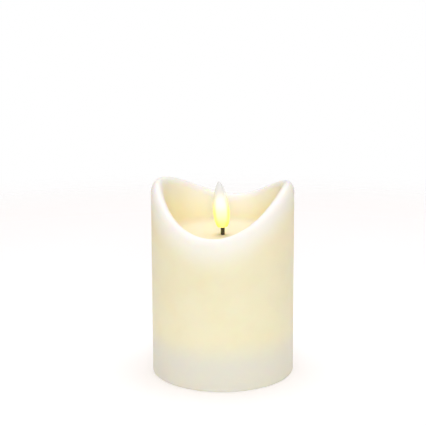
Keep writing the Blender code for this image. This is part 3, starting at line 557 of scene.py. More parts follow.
# %% Flame shape
_, flame_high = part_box("flame_tip")
FLAME_RADIUS = 4.35 * MM
FLAME_NECK = 2.2 * MM
FLAME_WIDEST = 0.36
FLAME_SWELL_POWER = 0.5
FLAME_FALL_POWER = 0.66
FLAME_WALL = 1.4 * MM
FLAME_BORE = 1.45 * MM
FLAME_LEAN = radians(-4.8)
HOLLOW_FOOT = 0.11
HOLLOW_STEPS = 20
OUTSIDE_STEPS = 44
BORE_TOP = 0.08 * FLAME_LENGTH
FLAME_FOOT = Vector((0, 0, flame_high.z - FLAME_LENGTH * cos(FLAME_LEAN)))


def flame_radius(share):
    """Outer radius at a share of the flame's length: a round foot, then a long taper to the tip."""
    if share < FLAME_WIDEST:
        swell = sin(pi / 2 * share / FLAME_WIDEST) ** FLAME_SWELL_POWER
        return FLAME_NECK + (FLAME_RADIUS - FLAME_NECK) * swell
    fall = (share - FLAME_WIDEST) / (1 - FLAME_WIDEST)
    return FLAME_RADIUS * cos(pi / 2 * fall) ** FLAME_FALL_POWER


def flame_profile():
    """The closed profile: down the hollow, out through the bore, and up the outside."""
    profile = [(0, HOLLOW_TOP * FLAME_LENGTH)]
    for step in range(1, HOLLOW_STEPS + 1):
        way = step / HOLLOW_STEPS
        share = HOLLOW_TOP - (HOLLOW_TOP - HOLLOW_FOOT) * way
        radius = (flame_radius(share) - FLAME_WALL) * sqrt(1 - (1 - way) ** 6)
        if way > 0.5:
            radius = max(FLAME_BORE, radius)
        profile.append((radius, share * FLAME_LENGTH))
    profile += [(FLAME_BORE, BORE_TOP), (FLAME_BORE, 0.15 * MM), (FLAME_BORE + 0.1 * MM, 0)]
    for step in range(OUTSIDE_STEPS):
        share = (1 - cos(pi * step / OUTSIDE_STEPS)) / 2
        profile.append((flame_radius(share), share * FLAME_LENGTH))
    return profile + [(0, FLAME_LENGTH)]


def make_flame():
    mesh = turned_mesh("frosted_flame", flame_profile(), 64)
    skins = [frosted_skin, hollow_skin]
    flame = add_piece("frosted_flame", mesh, skins, "candle", ["flame_tip"], 60)
    for face in flame.data.polygons:
        inwards = face.normal.x * face.center.x + face.normal.y * face.center.y < 0
        downwards = face.normal.z < -0.5 and face.center.z > 0.5 * FLAME_LENGTH
        low_enough = face.center.z < (HOLLOW_TOP + 0.005) * FLAME_LENGTH
        face.material_index = int(low_enough and (inwards or downwards))
    flame.rotation_euler = (0, FLAME_LEAN, 0)
    flame.location = FLAME_FOOT
    return flame


flame = make_flame()
print("flame faces lit from inside:", sum(face.material_index for face in flame.data.polygons))


# %% [markdown]
# ## The LED's light
#
# The glowing skins light the pool a little. A small warm light at the flame's middle adds the light that the
# frosted plastic scatters, and it warms the wax round the pool.

# %% Light of the flame
FLAME_WATTS = 0.007


def add_flame_light():
    data = bpy.data.lights.new("flame_light", "POINT")
    data.energy = FLAME_WATTS
    data.color = linear("FFEFCF")[:3]
    data.shadow_soft_size = 4 * MM
    lamp = put_in_scene("flame_light", data)
    lamp.location = FLAME_FOOT + Vector((-0.5 * MM, 0, 0.4 * FLAME_LENGTH))
    return data.energy


print("flame light in watts:", add_flame_light())


# %% [markdown]
# ## The stem and the LED
#
# The stem under the flame stands for a burnt wick: a thin tube of dark polypropylene with a matt, slightly
# uneven skin from its mould, drawn at 0.3 mm, as fine as shows. It carries the two leads up to the LED, which
# is a dome of clear epoxy resin over yellow phosphor.

# %% Stem and LED
def dark_plastic(tree, dark_hex, pale_hex, roughness):
    """Dark moulded plastic with a spark-eroded grain."""
    return {
        "Base Color": grade(tree, lumps(tree, 1.2), 0.35, 0.85, dark_hex, pale_hex),
        "Roughness": mottle(tree, 2.0, roughness - 0.06, roughness + 0.08),
        "Normal": relief(tree, (lumps(tree, 0.3), 0.012)),
        "IOR": 1.49,
    }


def clear_epoxy(tree):
    """Clear epoxy, tinted by the phosphor of a warm white LED."""
    return {
        "Base Color": mottle(tree, 0.6, "FFE27A", "FFF2C4"),
        "Emission Color": "FFE9A8",
        "Emission Strength": 3.0,
        "Roughness": mottle(tree, 0.8, 0.10, 0.18),
        "IOR": 1.54,
    }


stem_plastic = make_material("dark_polypropylene", dark_plastic, "2E2917", "50482E", 0.55)
knob_plastic = make_material("black_acetal", dark_plastic, "1B1B1A", "2A2926", 0.42)
epoxy = make_material("phosphor_epoxy", clear_epoxy)
STEM_WALL = 0.25 * MM
STEM_EDGE = 0.08 * MM


def make_stem():
    low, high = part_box("wick_stem")
    outer, bore, edge = high.x, high.x - STEM_WALL, STEM_EDGE
    profile = [(bore, low.z), (outer - edge, low.z), (outer, low.z + edge)]
    profile += line((outer, low.z + 2 * edge), (outer, high.z - edge), 30)
    profile += [(outer, high.z - edge), (outer - edge, high.z), (bore, high.z)]
    mesh = turned_mesh("stem_tube", profile, 40)
    return add_piece("stem_tube", mesh, [stem_plastic], "candle", ["wick_stem"])


stem = make_stem()
print("stem in mm:", in_mm(stem.dimensions))


# %% [markdown]
# ## The moulded base
#
# The base is injection-moulded ABS, white with a little cream in it. Its spark-eroded mould leaves a fine
# grain of about 0.1 mm, drawn at 0.35 mm so that it shows. Where the base has slid on tables the grain is
# polished into faint, long scuffs, so the roughness falls along stretched streaks.

# %% ABS material
def white_abs(tree, hex_colour, shade_hex, scuff):
    """White ABS. The scuff is how much smoother its polished streaks are."""
    streaks = lumps(tree, 1.0, detail=4, rough=0.7, stretch=(0.12, 1.0, 1.0))
    return {
        "Base Color": mottle(tree, 18, hex_colour, shade_hex, 0.9),
        "Roughness": grade(tree, streaks, 0.55, 0.72, 0.46, 0.46 - scuff),
        "Normal": relief(tree, (lumps(tree, 0.35, detail=2), 0.010), (streaks, 0.004)),
        "IOR": 1.53,
    }


outer_abs = make_material("spark_eroded_abs", white_abs, "E9E6DC", "DCD7C8", 0.16)
inner_abs = make_material("smooth_abs", white_abs, "ECEAE2", "E2DED2", 0.04)
print("plastics:", outer_abs.name, inner_abs.name)


# %% [markdown]
# ## Slabs and Booleans
#
# The plate, the door and the knob are mouldings with cut-outs, so each is a block with other shapes joined to
# it or cut from it by Booleans. A Bevel then rounds every sharp edge a little, as a mould does, and those
# edges catch the light. The result is fixed into the mesh, and the helper objects are removed.

# %% Slab and Boolean helpers
def extruded(name, outline, low, high):
    """A block with the given outline, from one height to another."""
    bm = bmesh.new()
    base = bm.faces.new([bm.verts.new((x, y, low)) for x, y in outline])
    raised = bmesh.ops.extrude_face_region(bm, geom=[base])["geom"]
    top = [item for item in raised if isinstance(item, bmesh.types.BMVert)]
    bmesh.ops.translate(bm, verts=top, vec=(0, 0, high - low))
    bmesh.ops.recalc_face_normals(bm, faces=bm.faces)
    mesh = bpy.data.meshes.new(name)
    bm.to_mesh(mesh)
    bm.free()
    return mesh


def slab(name, low, high, corner=0.0):
    """A flat block with its upright edges rounded."""
    steps = 8 if corner else 0
    outline = []
    for quarter, (side_x, side_y) in enumerate(((1, 1), (-1, 1), (-1, -1), (1, -1))):
        corner_x = (high[0] if side_x > 0 else low[0]) - side_x * corner
        corner_y = (high[1] if side_y > 0 else low[1]) - side_y * corner
        for step in range(steps + 1):
            angle = (quarter + step / max(steps, 1)) * pi / 2
            outline.append((corner_x + corner * cos(angle), corner_y + corner * sin(angle)))
    return extruded(name, outline, low[2], high[2])


def disc(name, radius, low, high, segments=40):
    return turned_mesh(name, [(0, low), (radius, low), (radius, high), (0, high)], segments)


def shape(target, operation, mesh, location=(0, 0, 0), turn=(0, 0, 0)):
    """Adds a Boolean to a piece, with a helper object made from a mesh."""
    helper = put_in_scene("helper", mesh)
    helper.location = location
    helper.rotation_euler = turn
    helper.hide_render = True
    modifier = target.modifiers.new(operation.lower(), "BOOLEAN")
    modifier.object = helper
    modifier.operation = operation


def cut(target, name, low, high, corner=0.0):
    """Cuts a slab out of a piece."""
    shape(target, "DIFFERENCE", slab(name, low, high, corner))


def join(target, name, low, high, corner=0.0):
    """Joins a slab to a piece."""
    shape(target, "UNION", slab(name, low, high, corner))


def fix_shape(piece, edge_round=0.0):
    """Turns a piece's Booleans and a last Bevel into its mesh, and keeps its large flat faces flat."""
    helpers = [modifier.object for modifier in piece.modifiers]
    if edge_round:
        bevel = piece.modifiers.new("rounded_edges", "BEVEL")
        bevel.width = edge_round
        bevel.segments = 2
        bevel.limit_method = "ANGLE"
        bevel.angle_limit = radians(SHARP_ANGLE)
    bpy.context.view_layer.update()
    piece.data = bpy.data.meshes.new_from_object(piece.evaluated_get(bpy.context.evaluated_depsgraph_get()))
    piece.modifiers.clear()
    smooth(merge_points(piece.data))
    even_shading = piece.modifiers.new("even_shading", "WEIGHTED_NORMAL")
    even_shading.keep_sharp = True
    for helper in helpers:
        bpy.data.objects.remove(helper)
    return piece


# %% [markdown]
# ## The base plate
#
# The plate closes the tub from below. It has the opening for the battery door, a shallow scoop that lets a
# fingertip reach the latch, a dished slot for the switch, and three sunk holes for the screws. A stiff pad
# inside carries the slot.

# %% Base plate
plate_low, plate_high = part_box("base_plate")
door_low, door_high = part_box("battery_door")
PLATE_RADIUS = plate_high.x
PLATE_BOTTOM = plate_low.z
PLATE_TOP = PLATE_BOTTOM + 1.6 * MM
PLATE_EDGE = 0.4 * MM
OPENING_X = 28.7 * MM
OPENING_Y = door_high.y + 0.3 * MM
DOOR_CORNER = 5.0 * MM
SWITCH_Y = -22.6 * MM
SCREW_PLACES = ((21.0 * MM, -22.0 * MM), (-21.0 * MM, -22.0 * MM), (0.0, 25.5 * MM))
SCREW_WAY = 1.4 * MM
HEAD_WAY = 2.7 * MM
BELOW, ABOVE = -1 * MM, 6 * MM
SWITCH_SHAPES = (
    ("switch_pad", "UNION", 8 * MM, 4 * MM, PLATE_TOP - 0.5 * MM, plate_high.z, 2 * MM),
    ("switch_dish", "DIFFERENCE", 7 * MM, 3 * MM, 0, PLATE_BOTTOM + 1.1 * MM, 2 * MM),
    ("switch_slot", "DIFFERENCE", 4 * MM, 1.7 * MM, BELOW, ABOVE, 0.6 * MM),
)


def make_base_plate():
    profile = [(0, PLATE_BOTTOM), (PLATE_RADIUS - PLATE_EDGE, PLATE_BOTTOM)]
    profile += [(PLATE_RADIUS, PLATE_BOTTOM + PLATE_EDGE), (PLATE_RADIUS, PLATE_TOP), (0, PLATE_TOP)]
    mesh = turned_mesh("moulded_base_plate", profile, 160)
    plate = add_piece("moulded_base_plate", mesh, [outer_abs], "candle", ["base_plate"])
    for name, operation, half_x, half_y, low, high, corner in SWITCH_SHAPES:
        ends = (-half_x, SWITCH_Y - half_y, low), (half_x, SWITCH_Y + half_y, high)
        shape(plate, operation, slab(name, *ends, corner))
    cut(plate, "latch_end", (-OPENING_X, -OPENING_Y, BELOW), (10 * MM, OPENING_Y, ABOVE), DOOR_CORNER)
    cut(plate, "hinge_end", (0, -OPENING_Y, BELOW), (OPENING_X, OPENING_Y, ABOVE))
    scoop_low, scoop_high = (-31.2 * MM, -5 * MM, 0), (3 * MM - OPENING_X, 5 * MM, PLATE_BOTTOM + 1 * MM)
    cut(plate, "finger_scoop", scoop_low, scoop_high, 2.3 * MM)
    for x, y in SCREW_PLACES:
        shape(plate, "DIFFERENCE", disc("screw_way", SCREW_WAY, BELOW, ABOVE), (x, y, 0))
        shape(plate, "DIFFERENCE", disc("head_way", HEAD_WAY, 0, PLATE_BOTTOM + 0.9 * MM), (x, y, 0))
    return fix_shape(plate, 0.15 * MM)


base_plate = make_base_plate()
print("plate faces:", len(base_plate.data.polygons))


# %% [markdown]
# ## Marks beside the switch
#
# Small raised marks name the switch's three places with no words: a bar for on, where the knob rests, a ring
# for off, and a dot for the timer. They rise 0.15 mm and stay clear of what the candle stands on.

# %% Marks beside the switch
MARK_RISE = 0.15 * MM
MARK_Y = SWITCH_Y - 4.8 * MM


def add_mark(name, mesh, x):
    mark = add_piece(name, mesh, [outer_abs], "candle")
    mark.location = (x, MARK_Y, PLATE_BOTTOM - MARK_RISE)
    return mark


ring_outline = [(0.5 * MM, 0), (0.8 * MM, 0), (0.8 * MM, 2 * MARK_RISE), (0.5 * MM, 2 * MARK_RISE)]
bar_low, bar_high = (-0.16 * MM, -0.8 * MM, 0), (0.16 * MM, 0.8 * MM, 2 * MARK_RISE)
marks = [
    add_mark("mark_on", slab("mark_on", bar_low, bar_high, 0.12 * MM), -2.2 * MM),
    add_mark("mark_off", turned_mesh("mark_off", ring_outline, 32), 0.0),
    add_mark("mark_timer", disc("mark_timer", 0.35 * MM, 0, 2 * MARK_RISE, 24), 2.2 * MM),
]
print("marks:", [mark.name for mark in marks])


# %% [markdown]
# ## The battery door
#
# The door hinges on two hooked tabs at one end and holds with a springy tongue at the other, which two slits
# free from the door. The knuckle at the hinge end is round about the joint's axis, so the door turns without
# catching the plate. Three ridges and a sunk arrow show where to push.

# %% Battery door
hinge = next(joint for joint in frame["joints"] if joint["name"] == "battery_door_hinge")
HINGE_X, _, HINGE_Z = hinge["pos_m"]
TAB_Y = 8.0 * MM
TAB_HALF = 2.0 * MM
TAB_FROM = 26.8 * MM
RISER_TO = 27.7 * MM
HOOK_TO = 29.4 * MM
TONGUE_HALF = 4.2 * MM
TONGUE_ROOT = -19.5 * MM
SLIT = 0.7 * MM
FIRST_RIDGE = -26.6 * MM
RIDGE_PITCH = 1.6 * MM
RIDGE_WIDTH = 0.7 * MM
ARROW_TIP = -17.3 * MM
ARROW_TAIL = -12.7 * MM


def add_hinge_end(door, reach):
    """The square end with its knuckle, and the two hooked tabs that hold the door in the plate."""
    join(door, "hinge_end", (0, -reach, PLATE_BOTTOM), (HINGE_X + 0.2 * MM, reach, PLATE_TOP))
    knuckle = disc("knuckle", (PLATE_TOP - PLATE_BOTTOM) / 2, -reach, reach, 32)
    shape(door, "UNION", knuckle, (HINGE_X, 0, HINGE_Z), (pi / 2, 0, 0))
    for side in (-1, 1):
        near, far = side * TAB_Y - TAB_HALF, side * TAB_Y + TAB_HALF
        join(door, "riser", (TAB_FROM, near, 2.0 * MM), (RISER_TO, far, 3.0 * MM))
        join(door, "hook", (TAB_FROM, near, 2.75 * MM), (HOOK_TO, far, 3.35 * MM))


def add_latch_end(door):
    """The springy tongue between two slits, with its catch inside and its ridges outside."""
    for side in (-1, 1):
        edges = sorted((side * TONGUE_HALF, side * (TONGUE_HALF + SLIT)))
        cut(door, "slit", (-30 * MM, edges[0], 0), (TONGUE_ROOT, edges[1], 5 * MM), 0.3 * MM)
    join(door, "catch", (-27.7 * MM, -2.8 * MM, PLATE_TOP - 0.3 * MM), (-26.7 * MM, 2.8 * MM, door_high.z))
    for number in range(3):
        x = FIRST_RIDGE + number * RIDGE_PITCH
        join(door, "ridge", (x, -3.4 * MM, door_low.z), (x + RIDGE_WIDTH, 3.4 * MM, 1.2 * MM), 0.3 * MM)


def make_battery_door():
    reach = door_high.y
    mesh = slab("moulded_door", (door_low.x, -reach, PLATE_BOTTOM), (10 * MM, reach, PLATE_TOP), DOOR_CORNER)
    door = add_piece("moulded_door", mesh, [outer_abs], "door", ["battery_door"])
    add_hinge_end(door, reach)
    add_latch_end(door)
    arrow = [(ARROW_TIP, 0), (ARROW_TAIL, -2.9 * MM), (ARROW_TAIL, 2.9 * MM)]
    shape(door, "DIFFERENCE", extruded("arrow", arrow, 0, PLATE_BOTTOM + 0.4 * MM))
    return fix_shape(door, 0.12 * MM)


battery_door = make_battery_door()
print("door in mm:", in_mm(battery_door.dimensions))


# %% [markdown]
# ## Metal parts
#
# The contacts, springs and screws are steel with a thin bright coat of nickel. A metal keeps the default IOR,
# and its base colour is what it mirrors. Rolled strip has fine lines along its length, drawn here 0.5 mm
# apart, and a handled piece has small scratches and dull, fingered patches.

# %% Nickel-plated steel
def nickel(tree, hex_colour, streak, roughness):
    """Nickel plate. The streak stretches its fine lines along one of its own axes."""
    scratches = lumps(tree, 0.5, detail=4, rough=0.7, stretch=streak)
    return {
        "Base Color": mottle(tree, 3, hex_colour, "AAA69B", 0.8),
        "Roughness": grade(tree, scratches, LUMPS_LOW, LUMPS_HIGH, roughness - 0.08, roughness + 0.12),
        "Normal": relief(tree, (scratches, 0.004)),
        "Metallic": 1.0,
    }


strip_nickel = make_material("nickel_plated_strip", nickel, "D9D6CE", (1.0, 0.1, 1.0), 0.26)
turned_nickel = make_material("nickel_plated_screw", nickel, "D2CFC6", (1.0, 1.0, 1.0), 0.30)
spring_nickel = make_material("nickel_plated_wire", nickel, "DEDBD3", (1.0, 1.0, 1.0), 0.22)
print("metals:", strip_nickel.name, turned_nickel.name, spring_nickel.name)


# %% [markdown]
# ## The screws
#
# Each base screw is a pan head with a cross recess, sunk in the plate. Its thread is a real spiral: every
# ring of the mesh climbs one pitch on its way round, so the crests and valleys climb with it.

# %% Base screws
THREAD_PITCH = 0.9 * MM
THREAD_ROWS = 6
HEAD_HEIGHT = 1.0 * MM
HEAD_PROFILE = ((0.0, 0.0), (0.6, 0.0), (0.85, 0.1), (0.97, 0.3), (1.0, 0.6), (1.0, 1.0))


def screw_mesh(name, head_radius, shank_radius, length):
    """A screw that points up, with its head's face at z = 0 and a spiral thread on its shank."""
    segments = 48
    rows = int((length - HEAD_HEIGHT - 1.3 * THREAD_PITCH) / THREAD_PITCH) * THREAD_ROWS
    rings = [[(r * head_radius, z * HEAD_HEIGHT)] * segments for r, z in HEAD_PROFILE]
    for row in range(rows + 1):
        crest = 1 - abs(2 * (row / THREAD_ROWS % 1) - 1)
        radius = shank_radius * (0.74 + 0.26 * crest) * min(1.0, (rows - row) / 5 + 0.25)
        climbs = [HEAD_HEIGHT + (row / THREAD_ROWS + i / segments) * THREAD_PITCH for i in range(segments)]
        rings.append([(radius, climb) for climb in climbs])
    rings.append([(0.0, length)] * segments)
    angles = turn_angles(segments)
    points = [[spot(r, angle, z) for (r, z), angle in zip(ring, angles)] for ring in rings]
    return merge_points(ring_surface(name, points))


def make_base_screw(number, place):
    node = f"base_screw_{number}"
    low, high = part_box(node)
    name = f"pan_head_screw_{number}"
    head_radius = (high.x - low.x) / 2
    mesh = screw_mesh(name, head_radius, 1.0 * MM, high.z - low.z)
    screw = add_piece(name, mesh, [turned_nickel], "candle", [node])
    screw.location = (*place, low.z)
    screw.rotation_euler = (0, 0, radians(20 + 35 * number))
    arm, half = head_radius * 0.55, head_radius * 0.12
    for reach_x, reach_y in ((arm, half), (half, arm)):
        blade = slab("blade", (-reach_x, -reach_y, -0.5 * MM), (reach_x, reach_y, 0.6 * MM))
        shape(screw, "DIFFERENCE", blade, screw.location, screw.rotation_euler)
    return fix_shape(screw)


screws = [make_base_screw(number, place) for number, place in enumerate(SCREW_PLACES, 1)]
print("screws:", [screw.name for screw in screws])


# %% [markdown]
# ## The springs
#
# Each contact spring is a cone of hard steel wire, wide against its plate and narrow against the cell. A
# curve with a round bevel is wire: the points give the coil, and the bevel gives the wire its thickness.

# %% Contact springs
CELL_LANE_Y = 7.7 * MM
CELL_AXIS_Z = 10.8 * MM
SPRING_WIRE = 0.35 * MM
SPRING_TURNS = 3.5
SPRING_NARROW = 3.2 * MM
STEPS_PER_TURN = 36


def make_spring(node):
    """A coil in the place of a packed spring, from its plate at an end of the bay towards the cell."""
    low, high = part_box(node)
    end, lane = copysign(1, low.x + high.x), copysign(1, low.y + high.y)
    wide = (high.y - low.y) / 2 - SPRING_WIRE
    start = (high.x if end > 0 else low.x) - end * SPRING_WIRE
    travel = high.x - low.x - 2 * SPRING_WIRE
    curve = bpy.data.curves.new(node + "_coil", "CURVE")
    curve.dimensions = "3D"
    curve.bevel_depth = SPRING_WIRE
    curve.bevel_resolution = 4
    curve.use_fill_caps = True
    spline = curve.splines.new("POLY")
    steps = round(SPRING_TURNS * STEPS_PER_TURN)
    spline.points.add(steps)
    for step, point in enumerate(spline.points):
        share = step / steps
        angle = 2 * pi * SPRING_TURNS * share
        radius = wide + (SPRING_NARROW - wide) * share
        y = lane * CELL_LANE_Y + radius * cos(angle)
        point.co = (start - end * travel * share, y, CELL_AXIS_Z + radius * sin(angle), 1)
    coil = put_in_scene(node + "_coil", curve)
    curve.materials.append(spring_nickel)
    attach(coil, "candle")
    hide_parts(node)
    return coil


springs = [make_spring(node) for node in ("negative_spring", "bridge_spring")]
print("springs:", [spring.name for spring in springs])


# %% [markdown]
# ## The cells
#
# An AA cell is a drawn steel can in a sleeve of printed shrink film, whose ends curl over the can's edges.
# The flat end and the nub stay bright. The sleeve here is slate blue with a pale band and no lettering, and
# it is a little wavy where it shrank.

# %% Cells
CELL_RADIUS_MM = 7.1
CAN_MM = 49.0
CELL_MM = 50.0
BAND_FROM = 36.0 * MM
BARE_RADIUS = 6.1 * MM


def shrink_film(tree):
    printed = mottle(tree, 6, "2E4459", "3C566E", 1.4)
    height = own_height(tree)
    return {
        "Base Color": grade(tree, height, BAND_FROM, BAND_FROM + 0.2 * MM, printed, "B9BCBE"),
        "Roughness": mottle(tree, 4, 0.24, 0.36),
        "Normal": relief(tree, (lumps(tree, 5, detail=1), 0.04)),
        "IOR": 1.54,
        "Coat Weight": 0.3,
    }


sleeve = make_material("printed_shrink_film", shrink_film)


def cell_profile():
    """From the middle of the flat end, over the curled sleeve, to the top of the nub."""
    profile = [(0, 0.1), (4.4, 0.1), (4.8, 0), (5.8, 0)]
    profile += arc((CELL_RADIUS_MM - 0.9, 0.9), 0.9, 0.8, -80, 0, 6)
    profile += line((CELL_RADIUS_MM, 1.2), (CELL_RADIUS_MM, CAN_MM - 0.8), 20)
    profile += arc((CELL_RADIUS_MM - 0.6, CAN_MM - 0.6), 0.6, 0.6, 0, 100, 6)
    profile += [(5.9, CAN_MM - 0.15), (5.3, CAN_MM - 0.35), (3.4, CAN_MM - 0.3), (2.75, CAN_MM)]
    profile += [(2.6, CELL_MM - 0.3), (2.3, CELL_MM), (0, CELL_MM)]
    return [(radius * MM, z * MM) for radius, z in profile]


def make_cell(number, side):
    """A cell along X, with its nub towards the side."""
    name = f"aa_cell_{number}"
    node = f"cell_{number}"
    mesh = turned_mesh(name, cell_profile(), 72)
    cell = add_piece(name, mesh, [sleeve, turned_nickel], "candle", [node])
    for face in cell.data.polygons:
        face.material_index = int(hypot(face.center.x, face.center.y) < BARE_RADIUS)
    low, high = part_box(node)
    cell.location = (low.x if side > 0 else high.x, (low.y + high.y) / 2, (low.z + high.z) / 2)
    cell.rotation_euler = (0, side * pi / 2, 0)
    return cell


cells = [make_cell(1, 1), make_cell(2, -1)]
print("cells in mm:", [in_mm(cell.dimensions) for cell in cells])


# %% [markdown]
# ## The switch knob
#
# The knob is a small block of black acetal that slides in the plate's slot, with grooves that a fingernail
# catches. Its foot spreads inside the switch's frame, so it can't come out.

# %% Switch knob
KNOB_HALF_X = 1.6 * MM
KNOB_HALF_Y = 1.25 * MM
FOOT_BOTTOM = 6.5 * MM
FIRST_GROOVE = -1.05 * MM
GROOVE_PITCH = 0.8 * MM
GROOVE = 0.4 * MM


def make_switch_knob():
    low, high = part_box("switch_knob")
    middle = (low.x + high.x) / 2
    block_low = (middle - KNOB_HALF_X, SWITCH_Y - KNOB_HALF_Y, low.z)
    block_high = (middle + KNOB_HALF_X, SWITCH_Y + KNOB_HALF_Y, FOOT_BOTTOM + 0.3 * MM)
    block = slab("acetal_knob", block_low, block_high, 0.25 * MM)
    knob = add_piece("acetal_knob", block, [knob_plastic], "knob", ["switch_knob"])
    join(knob, "foot", (low.x, low.y, FOOT_BOTTOM), (high.x, high.y, high.z), 0.2 * MM)
    for number in range(3):
        x = middle + FIRST_GROOVE + number * GROOVE_PITCH
        cut(knob, "groove", (x, SWITCH_Y - 2 * MM, 0), (x + GROOVE, SWITCH_Y + 2 * MM, low.z + GROOVE))
    return fix_shape(knob, 0.08 * MM)


switch_knob = make_switch_knob()
print("knob in mm:", in_mm(switch_knob.dimensions))


# %% [markdown]
# ## The board and its coatings
#
# The board is glass laminate under green solder mask, with the copper tracks showing as paler, square lines,
# so they come from a brick pattern. Its parts are a moulded epoxy chip, a steel crystal can, a sleeved
# capacitor and a lacquered resistor. The wires' soft PVC keeps the ripple of the strands inside.

# %% Board and wire materials
TRACK_PITCH = 4.8 * MM


def green_mask(tree):
    tracks = add_node(
        tree,
        "TexBrick",
        {
            "Vector": own_place(tree),
            "Scale": 1 / TRACK_PITCH,
            "Mortar Size": 0.04,
            "Color1": "1E5A33",
            "Color2": "23643A",
            "Mortar": "3E8450",
        },
    )
    return {
        "Base Color": tracks,
        "Roughness": mottle(tree, 1.5, 0.30, 0.42),
        "Normal": relief(tree, (tracks.outputs["Fac"], 0.03)),
        "IOR": 1.52,
        "Coat Weight": 0.4,
    }


def coating(tree, hex_colour, second_hex, lump_mm, roughness, height_mm):
    """A thin coloured coating, such as insulation, lacquer or moulded epoxy."""
    return {
        "Base Color": mottle(tree, lump_mm, hex_colour, second_hex),
        "Roughness": mottle(tree, 2 * lump_mm, roughness - 0.05, roughness + 0.08),
        "Normal": relief(tree, (lumps(tree, lump_mm), height_mm)),
        "IOR": 1.50,
    }


red_pvc = make_material("red_pvc", coating, "B3211C", "C5322A", 1.5, 0.35, 0.03)
black_pvc = make_material("black_pvc", coating, "191919", "242322", 1.5, 0.35, 0.03)
capacitor_sleeve = make_material("capacitor_sleeve", coating, "20242B", "2B3038", 2.0, 0.30, 0.02)
moulded_epoxy = make_material("moulded_epoxy", coating, "1C1B1A", "262423", 0.4, 0.60, 0.015)
resistor_lacquer = make_material("resistor_lacquer", coating, "C9AE7E", "B9966A", 0.9, 0.40, 0.02)
solder_mask = make_material("green_solder_mask", green_mask)
print("board materials:", solder_mask.name, red_pvc.name, black_pvc.name)


# %% [markdown]
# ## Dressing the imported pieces
#
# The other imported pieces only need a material, so each material has a list of the nodes that wear it.

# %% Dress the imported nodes
WEARERS = (
    (solder_mask, ["control_board"]),
    (red_pvc, ["battery_wire_red", "led_lead_positive"]),
    (black_pvc, ["battery_wire_black", "led_lead_negative"]),
    (capacitor_sleeve, ["storage_capacitor"]),
    (moulded_epoxy, ["timer_chip"]),
    (resistor_lacquer, ["led_resistor"]),
    (inner_abs, ["battery_housing", "wick_holder", "wick_socket"]),
    (strip_nickel, ["negative_plate", "positive_plate", "bridge_plate", "switch_frame", "timer_crystal"]),
    (turned_nickel, ["board_screw_1", "board_screw_2"]),
    (epoxy, ["flame_led"]),
)
for material, nodes in WEARERS:
    for node in nodes:
        packed_mesh = frame["nodes"][node].data
        for index in range(len(packed_mesh.materials)):
            packed_mesh.materials[index] = material
print("packed nodes dressed:", sum(len(nodes) for material, nodes in WEARERS))


# %% [markdown]
# ## The floor
#
# The candle stands on a disc of white paper that fades out into the white room, so there is no horizon. It
# is open under the candle and clear from below, so that the base can be seen.

# %% Floor
FLOOR_HOLE = 34.0 * MM
FLOOR_SOLID = 350 * MM
FLOOR_EDGE = 600 * MM
FLOOR_SEGMENTS = 96
PAPER_GLOW = 0.155


def white_paper(tree):
    return {
        "Base Color": "FAFAF9",
        "Emission Color": "FFFFFF",
        "Emission Strength": PAPER_GLOW,
        "Roughness": mottle(tree, 4, 0.85, 0.95),
    }


def make_paper():
    """Paper that fades out towards the floor's edge, and is clear from below."""
    paper = make_material("white_paper", white_paper)
    tree = paper.node_tree
    faded = grade(tree, own_radius(tree), FLOOR_SOLID, FLOOR_EDGE, 0.0, 1.0)
    below = add_node(tree, "NewGeometry").outputs["Backfacing"]
    share = add_node(tree, "Math", {0: faded, 1: below}, operation="MAXIMUM")
    clear = add_node(tree, "BsdfTransparent")
    mixed = add_node(tree, "MixShader", {"Fac": share, 1: tree.nodes["Principled BSDF"], 2: clear})
    feed(tree, tree.nodes["Material Output"], {"Surface": mixed})
    return paper


def make_floor():
    count = FLOOR_SEGMENTS
    points = [spot(radius, angle, 0) for radius in (FLOOR_HOLE, FLOOR_EDGE) for angle in turn_angles(count)]
    faces = [(i, i + count, (i + 1) % count + count, (i + 1) % count) for i in range(count)]
    mesh = bpy.data.meshes.new("paper_floor")
    mesh.from_pydata(points, [], faces)
    mesh.materials.append(make_paper())
    floor = put_in_scene("paper_floor", mesh)
    floor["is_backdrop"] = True
    return floor


floor = make_floor()
print("floor faces up:", all(face.normal.z > 0 for face in floor.data.polygons))


# %% [markdown]
# ## The lights
#
# A large softbox overhead lights the rim, the pool and the floor. A cooler one in front lights the middle of
# the round body more than its sides. The room gives a dim, warm light, so that the wax turns yellower where
# it turns away from the softboxes. A low softbox lights the base through the hole in the floor.

# %% Lights
ROOM_ABOVE = (0.39, 0.33, 0.22, 1.0)
ROOM_BELOW = (0.5, 0.5, 0.5, 1.0)
WHITE = (1.0, 1.0, 1.0, 1.0)
SKYLIGHT = (0.98, 1.0, 1.22)
DAYLIGHT = (0.94, 0.98, 1.14)


def aim(direction):
    """The rotation that turns a lamp or a camera to look in a direction."""
    return direction.to_track_quat("-Z", "Y").to_euler()


def softbox(name, power, size, position, colour, target=(0, 0, 0.05)):
    data = bpy.data.lights.new(name, "AREA")
    data.shape = "DISK"
    data.energy = power
    data.size = size
    data.color = colour
    lamp = put_in_scene(name, data)
    lamp.location = position
    lamp.rotation_euler = aim(Vector(target) - Vector(position))
    lamp.visible_camera = False
    return lamp


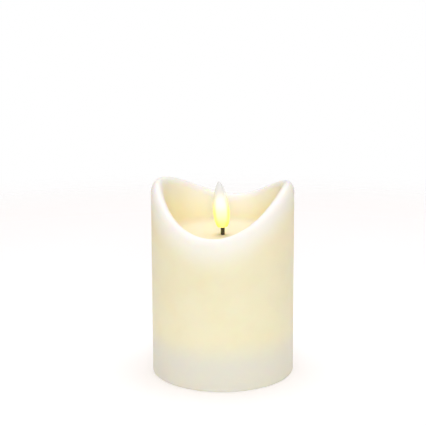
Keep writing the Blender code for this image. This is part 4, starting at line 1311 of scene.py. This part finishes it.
def make_room():
    """A room that the eye sees as white, and that lights the candle dimly, and warmly from above."""
    world = bpy.data.worlds.new("white_room")
    world.use_nodes = True
    tree = world.node_tree
    direction = add_node(tree, "TexCoord").outputs["Generated"]
    upwards = add_node(tree, "SeparateXYZ", {"Vector": direction}).outputs["Z"]
    light = grade(tree, upwards, -0.05, 0.05, ROOM_BELOW, ROOM_ABOVE)
    seen = add_node(tree, "LightPath").outputs["Is Camera Ray"]
    shown = grade(tree, seen, 0.0, 1.0, light, WHITE)
    feed(tree, tree.nodes["Background"], {"Color": shown, "Strength": 1.0})
    bpy.context.scene.world = world


lamps = [
    softbox("overhead_softbox", 12.2, 1.2, (0.0, 0.1, 1.4), SKYLIGHT),
    softbox("front_softbox", 7.4, 0.8, (0.25, -1.5, 0.5), DAYLIGHT),
    softbox("low_softbox", 9.0, 0.4, (-0.6, -0.8, -0.9), WHITE[:3], (0, 0, 0)),
]
make_room()
bpy.context.scene.view_settings.view_transform = "Standard"
print("softboxes:", [lamp.name for lamp in lamps])


# %% [markdown]
# ## The camera
#
# The camera stands 0.6 m away, a little to the right and 20 degrees above the table, with a long lens. It is
# turned slightly past the candle, and its small shift places the candle in the frame.

# %% Camera
CAMERA_LENS = 92.813
CAMERA_DISTANCE = 600.4 * MM
CAMERA_AZIMUTH = radians(9.582)
CAMERA_ELEVATION = radians(20.15)
CAMERA_YAW = radians(-0.619)
CAMERA_PITCH = radians(10.023)


def make_camera():
    data = bpy.data.cameras.new("camera")
    data.lens = CAMERA_LENS
    data.sensor_width = 36
    data.shift_x = -0.05
    data.shift_y = -0.1
    camera = put_in_scene("camera", data)
    level = cos(CAMERA_ELEVATION)
    across, along = sin(CAMERA_AZIMUTH) * level, -cos(CAMERA_AZIMUTH) * level
    camera.location = CAMERA_DISTANCE * Vector((across, along, sin(CAMERA_ELEVATION)))
    heading = CAMERA_AZIMUTH + CAMERA_YAW
    level = cos(CAMERA_PITCH)
    forward = Vector((-sin(heading) * level, cos(heading) * level, -sin(CAMERA_PITCH)))
    camera.rotation_euler = aim(forward)
    bpy.context.scene.camera = camera
    return camera


print("camera at, in mm:", in_mm(make_camera().location))


# %% [markdown]
# ## The sizes
#
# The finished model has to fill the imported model's box and stay inside it, so both boxes are written down.

# %% Sizes
visual_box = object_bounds()
print("finished box in mm:", [in_mm(corner) for corner in visual_box])
